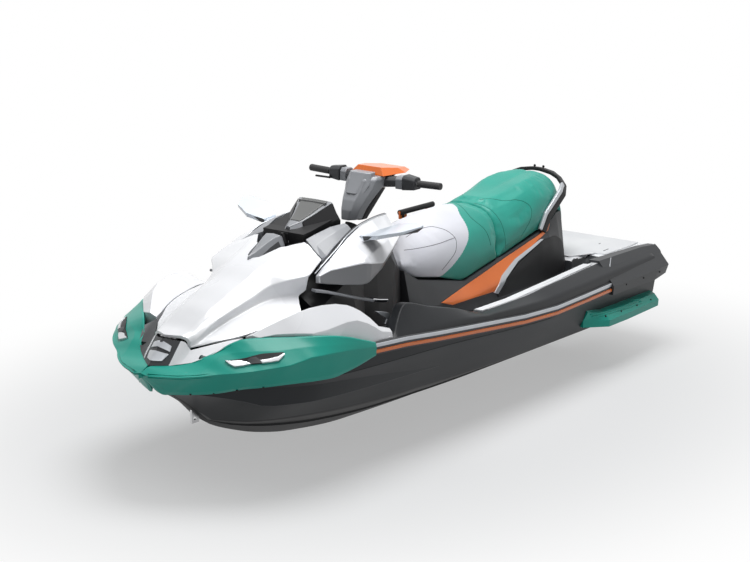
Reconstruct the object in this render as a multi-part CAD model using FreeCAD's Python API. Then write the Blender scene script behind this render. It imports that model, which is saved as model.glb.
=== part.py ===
import FreeCAD
import Part
import math
import os

# Three-seat personal watercraft. Millimetres, +X to the bow, +Y to port, +Z up.
# While it is modelled, X counts from the stern's aft edge and Z from the keel's lowest line.
# Places near the bow are written as bow - distance.

# Main sizes
craft_length = 3580.0
half_beam = 592.0
waterline_height = 290.0

# The tables of sections are drawn for this length and half beam. A longer craft grows between
# the stern block and the nose block, and a wider one grows outside the core that carries the seat.
drawn_length = 3580.0
drawn_half_beam = 592.0
stern_block = 450.0
nose_block = 1800.0
core_half_width = 300.0
bow = drawn_length

# Hull and deck
transom_x = 100.0
chine_half_width = 480.0
chine_height = 240.0
hull_corner_width = 500.0
overhang_height = 413.0
stripe_height = 431.0
flange_height = 60.0
rail_depth = 10.0
stripe_depth = 6.0
stripe_width = 18.0
silver_rise = 28.0
gunwale_half_width = 500.0
gunwale_height = 556.0
rear_deck_drop = 11.0
rear_deck_height = gunwale_height - rear_deck_drop
ledge_width = 50.0
deck_wall = 12.0
footwell_outer = 430.0
footwell_inner = 275.0
footwell_floor = 330.0
seat_plateau = 455.0
seat_sink = 10.0
front_plateau = 575.0
mat_thickness = 6.0
seat_clearance = 0.3

# Engine pocket and engine block
pocket_start = 1180.0
pocket_length = 720.0
pocket_half_width = 195.0
pocket_floor = 115.0
engine_gap = 12.0
engine_height = 290.0

# Jet pump
pump_z = 165.0
tunnel_front = 450.0
tunnel_half_width = 150.0
tunnel_ceiling = 366.0
plate_thickness = 12.0
pump_bore = 78.0
pump_wall = 12.0
pump_cone_start = 335.0
exit_start = 285.0
exit_end = 215.0
exit_bore = 42.0
exit_wall = 6.0
nozzle_pivot_x = 228.0
nozzle_bell = 60.0
nozzle_wall = 7.0
nozzle_end = 130.0
nozzle_exit = 41.0
pivot_pin = 6.0
pin_play = 0.3
bucket_pivot_x = 300.0
bucket_radius = 184.0
bucket_wall = 8.0
bucket_half_width = 104.0
bucket_low_angle = 53.0
bucket_high_angle = 118.0
impeller_gap = 1.5
impeller_hub = 27.0
impeller_start = 368.0
impeller_length = 60.0
blade_count = 4
shaft_radius = 12.5
shaft_gap = 2.5
inlet_rear = 560.0
inlet_front = 1010.0

# Boarding step
step_pivot_x = 84.0
step_pivot_z = 205.0
step_half_width = 175.0
step_arm = 167.0
step_tube = 10.0

# Hood and storage tub
hood_wall = 12.0
hinge_x = bow - 185.0
hinge_z = 684.0
hinge_pin = 4.0
hinge_knuckle = 8.0
tub_half_width = 165.0
tub_front = bow - 300.0
tub_rear = bow - 590.0
tub_floor = 470.0
tub_rim = 655.0
tub_wall = 6.0

# Bow eye
eye_setback = 330.0
eye_drop = 26.0
eye_radius = 9.0

# Steering
steer_pivot_x = bow - 1450.0
steer_pivot_z = 975.0
steer_rake = 32.0
steer_shaft = 14.0
bar_half_width = 399.0
bar_rise = 199.0
bar_height = steer_pivot_z + bar_rise
bar_x = bow - 1612.0
grip_radius = 17.0
grip_length = 128.0
bar_radius = 11.0


def stretched(x):
    """Where a place along the drawing lies on a craft of this length."""
    seat_drawn = drawn_length - stern_block - nose_block
    share = min(max((x - stern_block) / seat_drawn, 0), 1)
    return x + share * (craft_length - drawn_length)


def spread(y):
    """Where a place across the drawing lies on a craft of this beam."""
    share = max(abs(y) - core_half_width, 0) / (drawn_half_beam - core_half_width)
    return y + math.copysign(share, y) * (half_beam - drawn_half_beam)


def vec(x, y, z):
    return FreeCAD.Vector(stretched(x), spread(y), z)


def smooth(*pairs):
    """A rounded line through the given places that never swings past them."""
    xs = [p[0] for p in pairs]
    ys = [p[1] for p in pairs]
    count = len(xs)
    rise = [(ys[i + 1] - ys[i]) / (xs[i + 1] - xs[i]) for i in range(count - 1)]
    slope = [rise[0]]
    for i in range(1, count - 1):
        same_way = rise[i - 1] * rise[i] > 0
        slope.append(2 * rise[i - 1] * rise[i] / (rise[i - 1] + rise[i]) if same_way else 0.0)
    slope.append(rise[-1])

    def value(x):
        if x <= xs[0]:
            return ys[0]
        if x >= xs[-1]:
            return ys[-1]
        i = max(k for k in range(count - 1) if xs[k] <= x)
        width = xs[i + 1] - xs[i]
        t = (x - xs[i]) / width
        start = ys[i] * (1 + 2 * t) * (1 - t) ** 2 + ys[i + 1] * t * t * (3 - 2 * t)
        return start + width * t * (1 - t) * (slope[i] * (1 - t) - slope[i + 1] * t)

    return value


def straight_runs(pairs):
    """A line made of straight runs through the given places."""

    def value(x):
        if x <= pairs[0][0]:
            return pairs[0][1]
        if x >= pairs[-1][0]:
            return pairs[-1][1]
        i = max(k for k in range(len(pairs) - 1) if pairs[k][0] <= x)
        share = (x - pairs[i][0]) / (pairs[i + 1][0] - pairs[i][0])
        return pairs[i][1] * (1 - share) + pairs[i + 1][1] * share

    return value


def faceted(line, stations):
    """The same line made of straight runs between the stations."""
    return straight_runs([(x, line(x)) for x in stations])


def wire(points):
    return Part.makePolygon(points + [points[0]])


def loft(wires):
    return Part.makeLoft(wires, True, True)


def full_section(x, half):
    """A closed section at x from its port half, listed from the bottom to the top."""
    port = [vec(x, y, z) for y, z in half]
    starboard = [vec(x, -y, z) for y, z in reversed(half) if y > 0]
    return wire(port + starboard)


def side_section(x, points):
    return wire([vec(x, y, z) for y, z in points])


def largest(shape):
    """The biggest solid left by a cut, without its crumbs."""
    return max(shape.Solids, key=lambda solid: solid.Volume)


def both_sides(shape):
    """The port piece and its mirror image, as one node of two solids."""
    mirror = shape.mirror(vec(0, 0, 0), vec(0, 1, 0))
    return Part.makeCompound([shape, mirror])


def piece(name):
    """A piece that others are fitted to, made once."""
    if name not in made:
        made[name] = makers[name]()
    return made[name]


def box(x_range, y_range, z_range):
    low = vec(x_range[0], y_range[0], z_range[0])
    size = vec(x_range[1], y_range[1], z_range[1]) - low
    return Part.makeBox(size.x, size.y, size.z, low)


def rod(start, end, radius):
    along = end - start
    return Part.makeCylinder(radius, along.Length, start, along)


def revolved(profile, axis_z):
    """A closed profile of (x, radius) pairs turned about the line along X at axis_z."""
    face = Part.Face(wire([vec(x, 0, axis_z + r) for x, r in profile]))
    return face.revolve(vec(0, 0, axis_z), vec(1, 0, 0), 360)


# Hull lines. The stations are where the mould's sections lie.
hull_stations = [transom_x, 300.0, 500.0, 700.0, 900.0, 1200.0, 1500.0]
hull_stations += [bow - d for d in (1560, 1340, 1120, 889, 740, 613, 500, 392, 305, 250, 209, 150)]


def hull_line(*pairs):
    return faceted(smooth(*pairs), hull_stations)


keel_z = hull_line(
    (0, 0), (1500, 0), (bow - 1364, 15), (bow - 955, 60), (bow - 741, 108),
    (bow - 586, 160), (bow - 399, 244), (bow - 305, 331), (bow - 184, 423), (bow - 105, 449))
chine_y = hull_line(
    (0, chine_half_width - 12), (500, chine_half_width), (1500, chine_half_width),
    (bow - 1282, 440), (bow - 946, 385), (bow - 747, 322), (bow - 546, 230),
    (bow - 456, 160), (bow - 382, 60), (bow - 300, 35), (bow - 184, 25), (bow - 100, 15))
chine_z = hull_line(
    (0, chine_height - 2), (1500, chine_height + 6), (bow - 1282, 256), (bow - 546, 262),
    (bow - 382, 272), (bow - 300, 345), (bow - 184, 436), (bow - 100, 455))
outer_depth = rail_depth + stripe_depth
bond_y = hull_line(
    (0, hull_corner_width - 60), (transom_x, hull_corner_width), (564, drawn_half_beam - 64),
    (1222, drawn_half_beam - 27), (1500, drawn_half_beam - 20), (bow - 1560, drawn_half_beam - outer_depth),
    (bow - 1340, drawn_half_beam - outer_depth), (bow - 889, drawn_half_beam - 28), (bow - 613, 535),
    (bow - 500, 490), (bow - 392, 425), (bow - 305, 340), (bow - 250, 290), (bow - 209, 235),
    (bow - 150, 130))
bond_z = hull_line(
    (0, overhang_height), (564, overhang_height), (1222, overhang_height - 2),
    (1500, overhang_height + 16), (bow - 1340, 504), (bow - 889, 543), (bow - 740, 530),
    (bow - 613, 512), (bow - 392, 505), (bow - 209, 480), (bow - 150, 466))


def hull_side_y(x, z):
    """How far out the hull's side stands at this height."""
    share = (z - chine_z(x)) / (bond_z(x) - chine_z(x))
    return chine_y(x) * (1 - share) + bond_y(x) * share


def bottom_z(x, y):
    """Height of the hull's bottom between keel and chine."""
    return keel_z(x) + (chine_z(x) - keel_z(x)) * y / chine_y(x)


# Deck lines
deck_stations = [0.0, 400.0, 480.0, 560.0, 600.0, 750.0]
deck_stations += [bow - d for d in (1800, 1400, 1213, 1160, 1130, 1040)]
deck_stations = sorted(deck_stations + hull_stations)


def deck_line(*pairs):
    return faceted(smooth(*pairs), deck_stations)


gunwale_y = deck_line(
    (0, gunwale_half_width - 70), (513, gunwale_half_width - 50), (1161, gunwale_half_width),
    (1500, gunwale_half_width + 16), (bow - 1560, 530), (bow - 1376, 520), (bow - 1213, 500),
    (bow - 1040, 545), (bow - 889, 540), (bow - 613, 515), (bow - 500, 470), (bow - 392, 405),
    (bow - 305, 320), (bow - 250, 270), (bow - 209, 215), (bow - 150, 110))
gunwale_z = deck_line(
    (0, gunwale_height - 6), (513, gunwale_height + 8), (1161, gunwale_height),
    (1400, gunwale_height - 11), (bow - 1800, 549), (bow - 1560, 617), (bow - 1376, 663),
    (bow - 1213, 706), (bow - 1130, 650), (bow - 1040, front_plateau), (bow, front_plateau))
floor_z = deck_line(
    (0, rear_deck_height), (400, rear_deck_height), (480, rear_deck_height - 45),
    (600, rear_deck_height - 70), (700, rear_deck_height - 120),
    (900, footwell_floor + 12), (1400, footwell_floor), (bow - 1400, footwell_floor),
    (bow - 1213, 400), (bow - 1130, 560), (bow - 1040, front_plateau), (bow, front_plateau))
plateau_z = deck_line(
    (0, rear_deck_height), (560, rear_deck_height), (600, seat_plateau),
    (1500, seat_plateau), (bow - 1560, 508), (bow - 1340, 532), (bow - 1213, 542),
    (bow - 1130, 560), (bow - 1040, front_plateau), (bow, front_plateau))


def gunwale_crease(x):
    """The soft crease half way up the gunwale's outer face."""
    low_y = bond_y(x)
    low_z = min(bond_z(x) + flange_height, front_plateau)
    return (0.45 * low_y + 0.55 * gunwale_y(x) + 4, 0.5 * low_z + 0.5 * gunwale_z(x))


def footwell_edge(x):
    """Ledge, floor and plateau corners of the footwell at one section."""
    edge = gunwale_y(x)
    ledge = (edge - min(ledge_width, edge * 0.15), gunwale_z(x) - 4)
    outer = (min(footwell_outer, edge * 0.82), floor_z(x))
    inner = (min(footwell_inner, edge * 0.6), floor_z(x))
    corner = (min(footwell_inner - 5, edge * 0.55), plateau_z(x))
    return ledge, outer, inner, corner


def footwell_trough():
    """The parts of the footwells' moulding that dip below the bond line, port side."""
    stations = [x for x in deck_stations if floor_z(x) < bond_z(x) + 2 * deck_wall]
    wall = deck_wall
    sections = []
    for x in stations:
        ledge, outer, inner, corner = footwell_edge(x)
        low = floor_z(x) - wall
        high = bond_z(x) + 2 * wall
        slope = (ledge[0] - outer[0]) / (ledge[1] - outer[1])
        high_y = outer[0] + slope * (high - outer[1]) + wall
        sections.append(side_section(x, [
            (inner[0] - wall, low), (outer[0] + wall, low), (high_y, high),
            (inner[0] - wall, high)]))
    return loft(sections)


def footwell_space():
    """The open space of the port footwell."""
    sections = []
    for x in [s for s in deck_stations if s <= bow - 1130]:
        ledge, outer, inner, corner = footwell_edge(x)
        sections.append(side_section(x, [
            inner, outer, ledge, (ledge[0], 900), (corner[0], 900), corner]))
    return loft(sections)


def make_hull():
    sections = []
    for x in hull_stations:
        half = [(0, keel_z(x)), (chine_y(x), chine_z(x)), (bond_y(x), bond_z(x)), (0, bond_z(x))]
        sections.append(full_section(x, half))
    hull = loft(sections)
    for trough in both_sides(footwell_trough()).Solids:
        hull = hull.cut(trough)
    tub_hole = box(
        (tub_rear, tub_front), (-tub_half_width, tub_half_width), (tub_floor, 800))
    tunnel = box((0, tunnel_front), (-tunnel_half_width, tunnel_half_width), (-50, tunnel_ceiling))
    pocket = box(
        (pocket_start, pocket_start + pocket_length), (-pocket_half_width, pocket_half_width),
        (pocket_floor, 700))
    bore = rod(vec(tunnel_front - 20, 0, pump_z), vec(pocket_start + 20, 0, pump_z),
               shaft_radius + shaft_gap)
    return largest(hull.cut([tunnel, pocket, bore, inlet_duct(), tub_hole]))


def inlet_duct():
    """The water's way from the bottom of the hull to the pump."""
    profile = [
        (tunnel_front - 1, pump_z - pump_bore), (inlet_rear, 60), (inlet_rear, -60),
        (inlet_front, -60), (inlet_front, 60), (inlet_rear + 60, pump_z + pump_bore - 10),
        (tunnel_front - 1, pump_z + pump_bore)]
    face = Part.Face(wire([vec(x, -pump_bore, z) for x, z in profile]))
    return face.extrude(vec(0, 2 * pump_bore, 0))


def make_engine():
    return box(
        (pocket_start + engine_gap, pocket_start + pocket_length - engine_gap),
        (engine_gap - pocket_half_width, pocket_half_width - engine_gap),
        (pocket_floor, pocket_floor + engine_height))


def make_deck():
    sections = []
    for x in deck_stations:
        ledge, outer, inner, corner = footwell_edge(x)
        flange_top = min(bond_z(x) + flange_height, front_plateau)
        half = [
            (0, bond_z(x)), (bond_y(x), bond_z(x)), (bond_y(x), flange_top), gunwale_crease(x),
            (gunwale_y(x), gunwale_z(x)), ledge, corner, (0, plateau_z(x))]
        sections.append(full_section(x, half))
    tub_hole = box((tub_rear, tub_front), (-tub_half_width, tub_half_width), (0, 800))
    deck = loft(sections).fuse(both_sides(footwell_trough()).Solids)
    for space in both_sides(footwell_space()).Solids:
        deck = deck.cut(space)
    return largest(deck.cut(tub_hole))


def make_mats():
    """Soft mats over the footwells' ledge, wall and floor."""
    lift = mat_thickness
    sections = []
    for x in [s for s in deck_stations if stripe_start < s <= bow - 1800]:
        ledge, outer, inner, corner = footwell_edge(x)
        edge = (gunwale_y(x) - 6, gunwale_z(x) - 0.3)
        under = [edge, ledge, outer, inner]
        over = [
            (inner[0], inner[1] + lift), (outer[0] - lift, outer[1] + lift),
            (ledge[0] - lift, ledge[1] + lift), (edge[0], edge[1] + lift)]
        sections.append(side_section(x, under + over))
    return both_sides(loft(sections))


def make_rear_pad():
    top = rear_deck_height + mat_thickness
    outline = [(25, 335), (120, 345), (380, 345), (395, 290), (545, 225)]
    port = [vec(x, y, rear_deck_height) for x, y in outline]
    starboard = [vec(x, -y, rear_deck_height) for x, y in reversed(outline)]
    return Part.Face(wire(port + starboard)).extrude(vec(0, 0, top - rear_deck_height))


# Rub rail and stripes
stripe_start = 640.0
stripe_end = bow - 889.0


def stripe_stations():
    inside = [x for x in hull_stations if stripe_start < x < stripe_end]
    return [stripe_start] + inside + [stripe_end]


def stripe_z(x):
    return bond_z(x) + stripe_height - overhang_height


def side_strip(low, high, depth_from, depth_to):
    """A strip along the flange, its heights counted from the stripe's middle line."""
    sections = []
    for x in stripe_stations():
        inner = bond_y(x) + depth_from
        outer = bond_y(x) + depth_to
        middle = stripe_z(x)
        round_off = min(3.0, (depth_to - depth_from) / 2)
        points = [
            (inner, middle + low), (outer, middle + low + round_off),
            (outer, middle + high - round_off), (inner, middle + high)]
        sections.append(side_section(x, points))
    return both_sides(loft(sections))


def make_rub_rail():
    return side_strip(-stripe_width, silver_rise + stripe_width / 2 + 4, 0, rail_depth)


def make_orange_stripe():
    return side_strip(-stripe_width / 2, stripe_width / 2, rail_depth, outer_depth)


def make_silver_stripe():
    low = silver_rise - stripe_width / 2
    return side_strip(low, low + stripe_width, rail_depth, rail_depth + stripe_depth - 2)


# Bumper sections: x, lower edge, outer crease and top edge
bumper_sections = [
    (bow - 889, (584, 545), (590, 588), (584, 608)),
    (bow - 809, (584, 531), (590, 600), (582, 636)),
    (bow - 613, (562, 502), (588, 622), (554, 690)),
    (bow - 540, (536, 502), (585, 629), (516, 699)),
    (bow - 484, (508, 502), (570, 626), (462, 700)),
    (bow - 430, (478, 502), (545, 616), (406, 700)),
    (bow - 377, (440, 499), (522, 606), (356, 698)),
    (bow - 332, (392, 493), (488, 600), (310, 694)),
    (bow - 295, (346, 488), (461, 596), (274, 678)),
    (bow - 257, (306, 481), (428, 591), (238, 649)),
    (bow - 211, (252, 470), (376, 585), (210, 629)),
    (bow - 160, (160, 459), (300, 575), (152, 600)),
    (bow - 107, (40, 450), (250, 568), (78, 587)),
    (bow - 53, (14, 505), (170, 563), (20, 584)),
    (bow, (2, 556), (40, 559), (2, 562))]
bumper_skin = 14.0
bumper_open_from = bow - 211


def make_bumper():
    """Band round the bow. It hugs the hull's side and leaves the deck open between its edges."""
    outside = []
    under = []
    between = []
    first = bumper_sections[0][0]
    for x, low, crease, top in bumper_sections:
        outside.append(full_section(x, [(0, low[1]), low, crease, top, (0, top[1])]))
        if x <= bumper_open_from:
            wall = bond_y(x)
            lid = top[1] - bumper_skin
            place = x - 10 if x == first else x
            under.append(full_section(place, [
                (0, 300), (wall, 300), (wall, front_plateau),
                (min(wall, crease[0] - 30), crease[1] - 8), (min(wall, top[0]), lid), (0, lid)]))
            rim = min(wall, top[0]) - bumper_skin
            between.append(full_section(place, [(0, 560), (rim, 560), (rim, 900), (0, 900)]))
    shape = loft(outside).cut(loft(under)).cut(loft(between))
    core = []
    for x in [first - 10, first] + [s for s in deck_stations if s > first]:
        wall = bond_y(x)
        core.append(full_section(x, [
            (0, 300), (wall, 300), (wall, front_plateau), (0, front_plateau)]))
    return largest(shape.cut(loft(core)))


# White side decks: x, inner edge, ridge, crease and outer edge of the port one
side_deck_sections = [
    (bow - 1040, (500, 630), (545, 634), (560, 618), (565, 596)),
    (bow - 968, (470, 652), (538, 656), (558, 636), (564, 604)),
    (bow - 924, (430, 700), (524, 703), (556, 664), (562, 611)),
    (bow - 875, (400, 726), (508, 742), (552, 692), (563, 620)),
    (bow - 836, (382, 738), (498, 764), (549, 708), (564, 630)),
    (bow - 742, (362, 750), (478, 796), (545, 724), (556, 652)),
    (bow - 673, (350, 744), (460, 801), (542, 722), (552, 668)),
    (bow - 613, (340, 738), (440, 798), (534, 716), (543, 684)),
    (bow - 545, (326, 727), (420, 788), (514, 712), (508, 698)),
    (bow - 484, (308, 713), (392, 768), (456, 716), (446, 699)),
    (bow - 430, (285, 699), (348, 738), (400, 712), (390, 699)),
    (bow - 380, (269, 688), (306, 702), (350, 700), (340, 697))]


def make_side_decks():
    sections = []
    for x, inner, ridge, crease, outer in side_deck_sections:
        points = [
            (inner[0], front_plateau), (outer[0] - 4, front_plateau), outer, crease, ridge, inner]
        sections.append(side_section(x, points))
    return both_sides(largest(loft(sections).cut(piece("bow_bumper"))))


# Nose sections across the craft: y, lower front corner and upper front corner as (x, z)
nose_sections = [
    (0, (bow - 55, 586), (bow - 145, 691)),
    (40, (bow - 80, 587), (bow - 159, 686)),
    (78, (bow - 109, 588), (bow - 187, 680)),
    (92, (bow - 119, 591), (bow - 192, 675)),
    (114, (bow - 135, 595), (bow - 200, 643)),
    (152, (bow - 162, 602), (bow - 250, 655)),
    (210, (bow - 213, 630), (bow - 325, 673)),
    (258, (bow - 290, 672), (bow - 376, 684))]
grille_half_width = 72.0


def nose_wedge():
    """The port half of the nose between the hood's lip and the bumper's top edge."""
    wires = []
    for y, low, top in nose_sections:
        base = bumper_top_z(min(low[0], bow - 56)) + seat_clearance
        foot = max(min(low[1], base), front_plateau)
        wires.append(wire([
            vec(low[0], y, low[1]), vec(top[0], y, top[1]), vec(top[0], y, foot)]))
    return loft(wires)


bumper_top_z = straight_runs([(x, top[1]) for x, low, crease, top in bumper_sections])


def make_nose_half(low_y, high_y):
    slice_box = box((bow - 500, bow), (low_y, high_y), (500, 900))
    return largest(nose_wedge().common(slice_box).cut(piece("bow_bumper")))


def make_grille():
    half = make_nose_half(0, grille_half_width)
    return half.fuse(half.mirror(vec(0, 0, 0), vec(0, 1, 0))).removeSplitter()


def make_nose_panels():
    half = make_nose_half(grille_half_width + seat_clearance, 300)
    return both_sides(half.cut(piece("side_decks").Solids[0]))


# Hood sections: x, middle height, valley, crest, fold and lower edge of the port half
hood_sections = [
    (bow - 140, 697, (92, 672), (98, 662), (102, 656), (105, 650)),
    (bow - 200, 711, (98, 690), (103, 672), (105, 660), (107, 650)),
    (bow - 235, 720, (106, 703), (114, 684), (121, 670), (133, 657)),
    (bow - 296, 755, (112, 739), (124, 716), (136, 700), (180, 673)),
    (bow - 352, 788, (118, 768), (130, 744), (146, 722), (226, 684)),
    (bow - 412, 813, (124, 789), (136, 766), (156, 742), (260, 696)),
    (bow - 484, 844, (128, 820), (144, 785), (166, 760), (299, 715)),
    (bow - 570, 876, (130, 850), (154, 808), (180, 784), (322, 733)),
    (bow - 652, 915, (134, 896), (172, 845), (208, 797), (338, 743)),
    (bow - 715, 938, (140, 925), (225, 868), (258, 806), (345, 752)),
    (bow - 782, 962, (150, 943), (288, 888), (294, 820), (350, 760)),
    (bow - 870, 986, (168, 968), (274, 930), (286, 870), (340, 800)),
    (bow - 945, 1006, (196, 986), (268, 950), (280, 900), (330, 820))]

# The hood's front lip in plan, its rear edge seen from the side, and the recess for the vent
hood_lip = [(bow - 159, 0), (bow - 199, 88), (bow - 210, 116), (bow - 210, 300)]
hood_rear = [
    (bow - 940, 1012), (bow - 922, 979), (bow - 889, 937), (bow - 779, 885), (bow - 782, 820),
    (bow - 655, 734)]
hood_recess = [
    (bow - 715, 0), (bow - 738, 34), (bow - 765, 46), (bow - 806, 58), (bow - 846, 70),
    (bow - 860, 88), (bow - 883, 104), (bow - 920, 134), (bow - 937, 142), (bow - 1000, 142),
    (bow - 1000, 0)]


def plan_prism(outline, low, high):
    """A vertical prism over a plan outline given by its port half."""
    port = [vec(x, y, low) for x, y in outline]
    starboard = [vec(x, -y, low) for x, y in reversed(outline) if y > 0]
    return Part.Face(wire(port + starboard)).extrude(vec(0, 0, high - low))


def side_prism(outline, half_width):
    """A prism across the craft over an outline in x and z."""
    face = Part.Face(wire([vec(x, -half_width, z) for x, z in outline]))
    return face.extrude(vec(0, 2 * half_width, 0))


def hood_shell():
    outside = []
    inside = []
    last = len(hood_sections) - 1
    for i, (x, middle, valley, crest, fold, low) in enumerate(hood_sections):
        outside.append(full_section(x, [
            (0, low[1]), low, fold, crest, valley, (0, middle)]))
        shift = {0: 20, last: -20}.get(i, 0)
        inner = [(0, low[1] - 60), (low[0] - 10, low[1] - 60)]
        for y, z in (low, fold, crest, valley):
            inner.append((y - 10, z - hood_wall))
        inside.append(full_section(x + shift, inner + [(0, middle - hood_wall)]))
    shell = loft(outside).cut(loft(inside))
    ahead = plan_prism(hood_lip + [(bow + 20, 300), (bow + 20, 0)], 500, 900)
    behind = side_prism(
        [(bow - 1100, 1200), (bow - 940, 1200)] + hood_rear + [(bow - 655, 500), (bow - 1100, 500)],
        600)
    return shell.cut(ahead).cut(behind).cut(plan_prism(hood_recess, 800, 1200))


def make_hood():
    pocket = rod(vec(hinge_x, -50, hinge_z), vec(hinge_x, 50, hinge_z), hinge_pin + 5)
    shell = largest(hood_shell().cut(pocket))
    lugs = []
    for side in (-1, 1):
        y_range = sorted((side * 22, side * 34))
        lugs.append(box((hinge_x - 6, hinge_x + 6), y_range, (hinge_z, hinge_z + 12)))
        lugs.append(rod(vec(hinge_x, y_range[0], hinge_z), vec(hinge_x, y_range[1], hinge_z),
                        hinge_knuckle))
    bore = rod(vec(hinge_x, -80, hinge_z), vec(hinge_x, 80, hinge_z), hinge_pin + pin_play)
    return shell.fuse(lugs).cut(bore)


# Instrument cowl sections: x, top, top half width, shoulder, lower edge
cowl_sections = [
    (bow - 868, 1046, 62, (80, 1036), (82, 1002)),
    (bow - 916, 1074, 106, (116, 1066), (124, 1018)),
    (bow - 1000, 1100, 106, (126, 1080), (136, 1030)),
    (bow - 1140, 1134, 104, (128, 1112), (140, 1060)),
    (bow - 1175, 1142, 102, (126, 1118), (136, 1068))]
cowl_rear = bow - 1175


def make_cowl():
    wires = []
    for x, top, wide, shoulder, low in cowl_sections:
        half = [(0, low[1]), low, shoulder, (wide, top), (0, top + 2)]
        wires.append(full_section(x, half))
    recess = box((cowl_rear - 5, cowl_rear + 26), (-84, 84), (1080, 1134))
    return loft(wires).cut(recess)


def make_display():
    return box((cowl_rear + 14, cowl_rear + 26), (-80, 80), (1082, 1130))


# Cowl base sections: x, half width at the bottom and its height, half width and height at the top
cowl_base_sections = [(bow - 944, 116, 820, 122, 1032), (bow - 1175, 126, 880, 132, 1084)]


def make_cowl_base():
    wires = []
    for x, foot, foot_z, top, top_z in cowl_base_sections:
        wires.append(full_section(x, [(0, foot_z), (foot, foot_z), (top, top_z), (0, top_z)]))
    return largest(loft(wires).cut(piece("console")).cut(piece("cowl")))


# Vent sections: x, half width, lower edge, top half width and top
vent_sections = [
    (bow - 728, 8, 900, 4, 938), (bow - 765, 38, 915, 18, 968), (bow - 806, 50, 930, 26, 1000),
    (bow - 846, 58, 940, 36, 1018), (bow - 866, 62, 950, 44, 1022), (bow - 890, 70, 950, 66, 1030),
    (bow - 942, 86, 950, 84, 1040)]


def make_hood_vent():
    """Grey vent piece in the hood's recess, running back under the cowl to its base."""
    wires = []
    for x, wide, low, top, high in vent_sections:
        wires.append(full_section(x, [(0, low), (wide, low), (top, high), (0, high + 4)]))
    return largest(loft(wires).cut(piece("cowl")).cut(piece("cowl_base")))


# Cowl wing sections: x, inner edge, crease and outer edge of the port one
wing_sections = [
    (bow - 911, (231, 953), (246, 949), (258, 937)),
    (bow - 948, (132, 1002), (196, 984), (256, 940)),
    (bow - 990, (143, 1016), (200, 1000), (252, 966)),
    (bow - 1080, (163, 1040), (205, 1025), (238, 998)),
    (bow - 1172, (178, 1045), (198, 1038), (216, 1024))]


def make_cowl_wings():
    """Grey shoulders between the cowl and the side fairings."""
    wires = []
    for x, inner, crease, outer in wing_sections:
        wires.append(side_section(x, [
            (110, inner[1] - 120), (outer[0], outer[1] - 80), outer, crease, inner]))
    shape = loft(wires)
    for name in ("console", "cowl_base", "cowl"):
        shape = shape.cut(piece(name))
    return both_sides(largest(shape.cut(piece("side_fairings").Solids[0])))


def make_storage_tub():
    outer = box((tub_rear, tub_front), (-tub_half_width, tub_half_width), (tub_floor, tub_rim))
    inner = box(
        (tub_rear + tub_wall, tub_front - tub_wall),
        (tub_wall - tub_half_width, tub_half_width - tub_wall), (tub_floor + tub_wall, tub_rim + 9))
    return outer.cut(inner)


def make_hood_hinge():
    """Bracket and pin that carry the hood at the bow. It stands on the bumper's top."""
    pin = rod(vec(hinge_x, -45, hinge_z), vec(hinge_x, 45, hinge_z), hinge_pin)
    foot = bumper_top_z(hinge_x - 8) + seat_clearance
    plate = box((hinge_x - 8, hinge_x + 8), (-45, 45), (foot, hinge_z - hinge_knuckle - 6))
    ears = []
    for low, high in ((-45, -37), (-19, 19), (37, 45)):
        ears.append(box((hinge_x - 4, hinge_x + 4), (low, high), (foot + 20, hinge_z)))
        ears.append(rod(vec(hinge_x, low, hinge_z), vec(hinge_x, high, hinge_z), hinge_pin + 2))
    return plate.fuse(ears + [pin])


# Side fairings: x, inner top, facet, ridge, lower outer and lower inner corner of the port one
fairing_sections = [
    (bow - 842, (276, 872), (290, 876), (302, 878), (304, 842), (276, 838)),
    (bow - 900, (268, 900), (296, 903), (318, 896), (331, 830), (268, 826)),
    (bow - 951, (266, 925), (308, 917), (345, 902), (356, 821), (266, 817)),
    (bow - 1030, (264, 973), (350, 932), (386, 912), (394, 812), (264, 808)),
    (bow - 1060, (260, 985), (386, 922), (396, 911), (398, 812), (260, 808)),
    (bow - 1092, (252, 997), (380, 930), (402, 904), (392, 814), (252, 810)),
    (bow - 1216, (222, 1026), (345, 944), (374, 881), (362, 846), (222, 838)),
    (bow - 1330, (208, 1040), (308, 960), (338, 921), (332, 896), (208, 888)),
    (bow - 1428, (200, 1044), (256, 968), (303, 956), (297, 948), (200, 944)),
    (bow - 1459, (198, 1042), (246, 992), (286, 982), (282, 972), (198, 966))]


def make_fairings():
    wires = []
    for x, top, facet, ridge, low, inner in fairing_sections:
        wires.append(side_section(x, [inner, low, ridge, facet, top]))
    return both_sides(loft(wires))


# Console sections: x, base half width, side half width and height, top half width and height
console_sections = [
    (bow - 1572, 200, 190, 745, 150, 830),
    (bow - 1500, 236, 215, 800, 170, 905),
    (bow - 1459, 250, 215, 850, 190, 950),
    (bow - 1330, 300, 235, 850, 200, 962),
    (bow - 1216, 330, 250, 830, 200, 945),
    (bow - 1092, 345, 270, 800, 200, 920),
    (bow - 1030, 350, 280, 790, 200, 900),
    (bow - 900, 350, 310, 760, 200, 850),
    (bow - 790, 340, 330, 720, 190, 810)]


def make_console():
    wires = []
    for x, base, side, side_z, top, top_z in console_sections:
        foot = plateau_z(x) - seat_sink
        wide = min(base, footwell_inner - 8) if x < bow - 1092 else base
        half = [(0, foot), (wide, foot), (side, side_z), (top, top_z), (0, top_z)]
        wires.append(full_section(x, half))
    shape = loft(wires)
    for other in [piece("deck"), steering_collar()] + piece("side_fairings").Solids:
        shape = shape.cut(other)
    return largest(shape)


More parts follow.
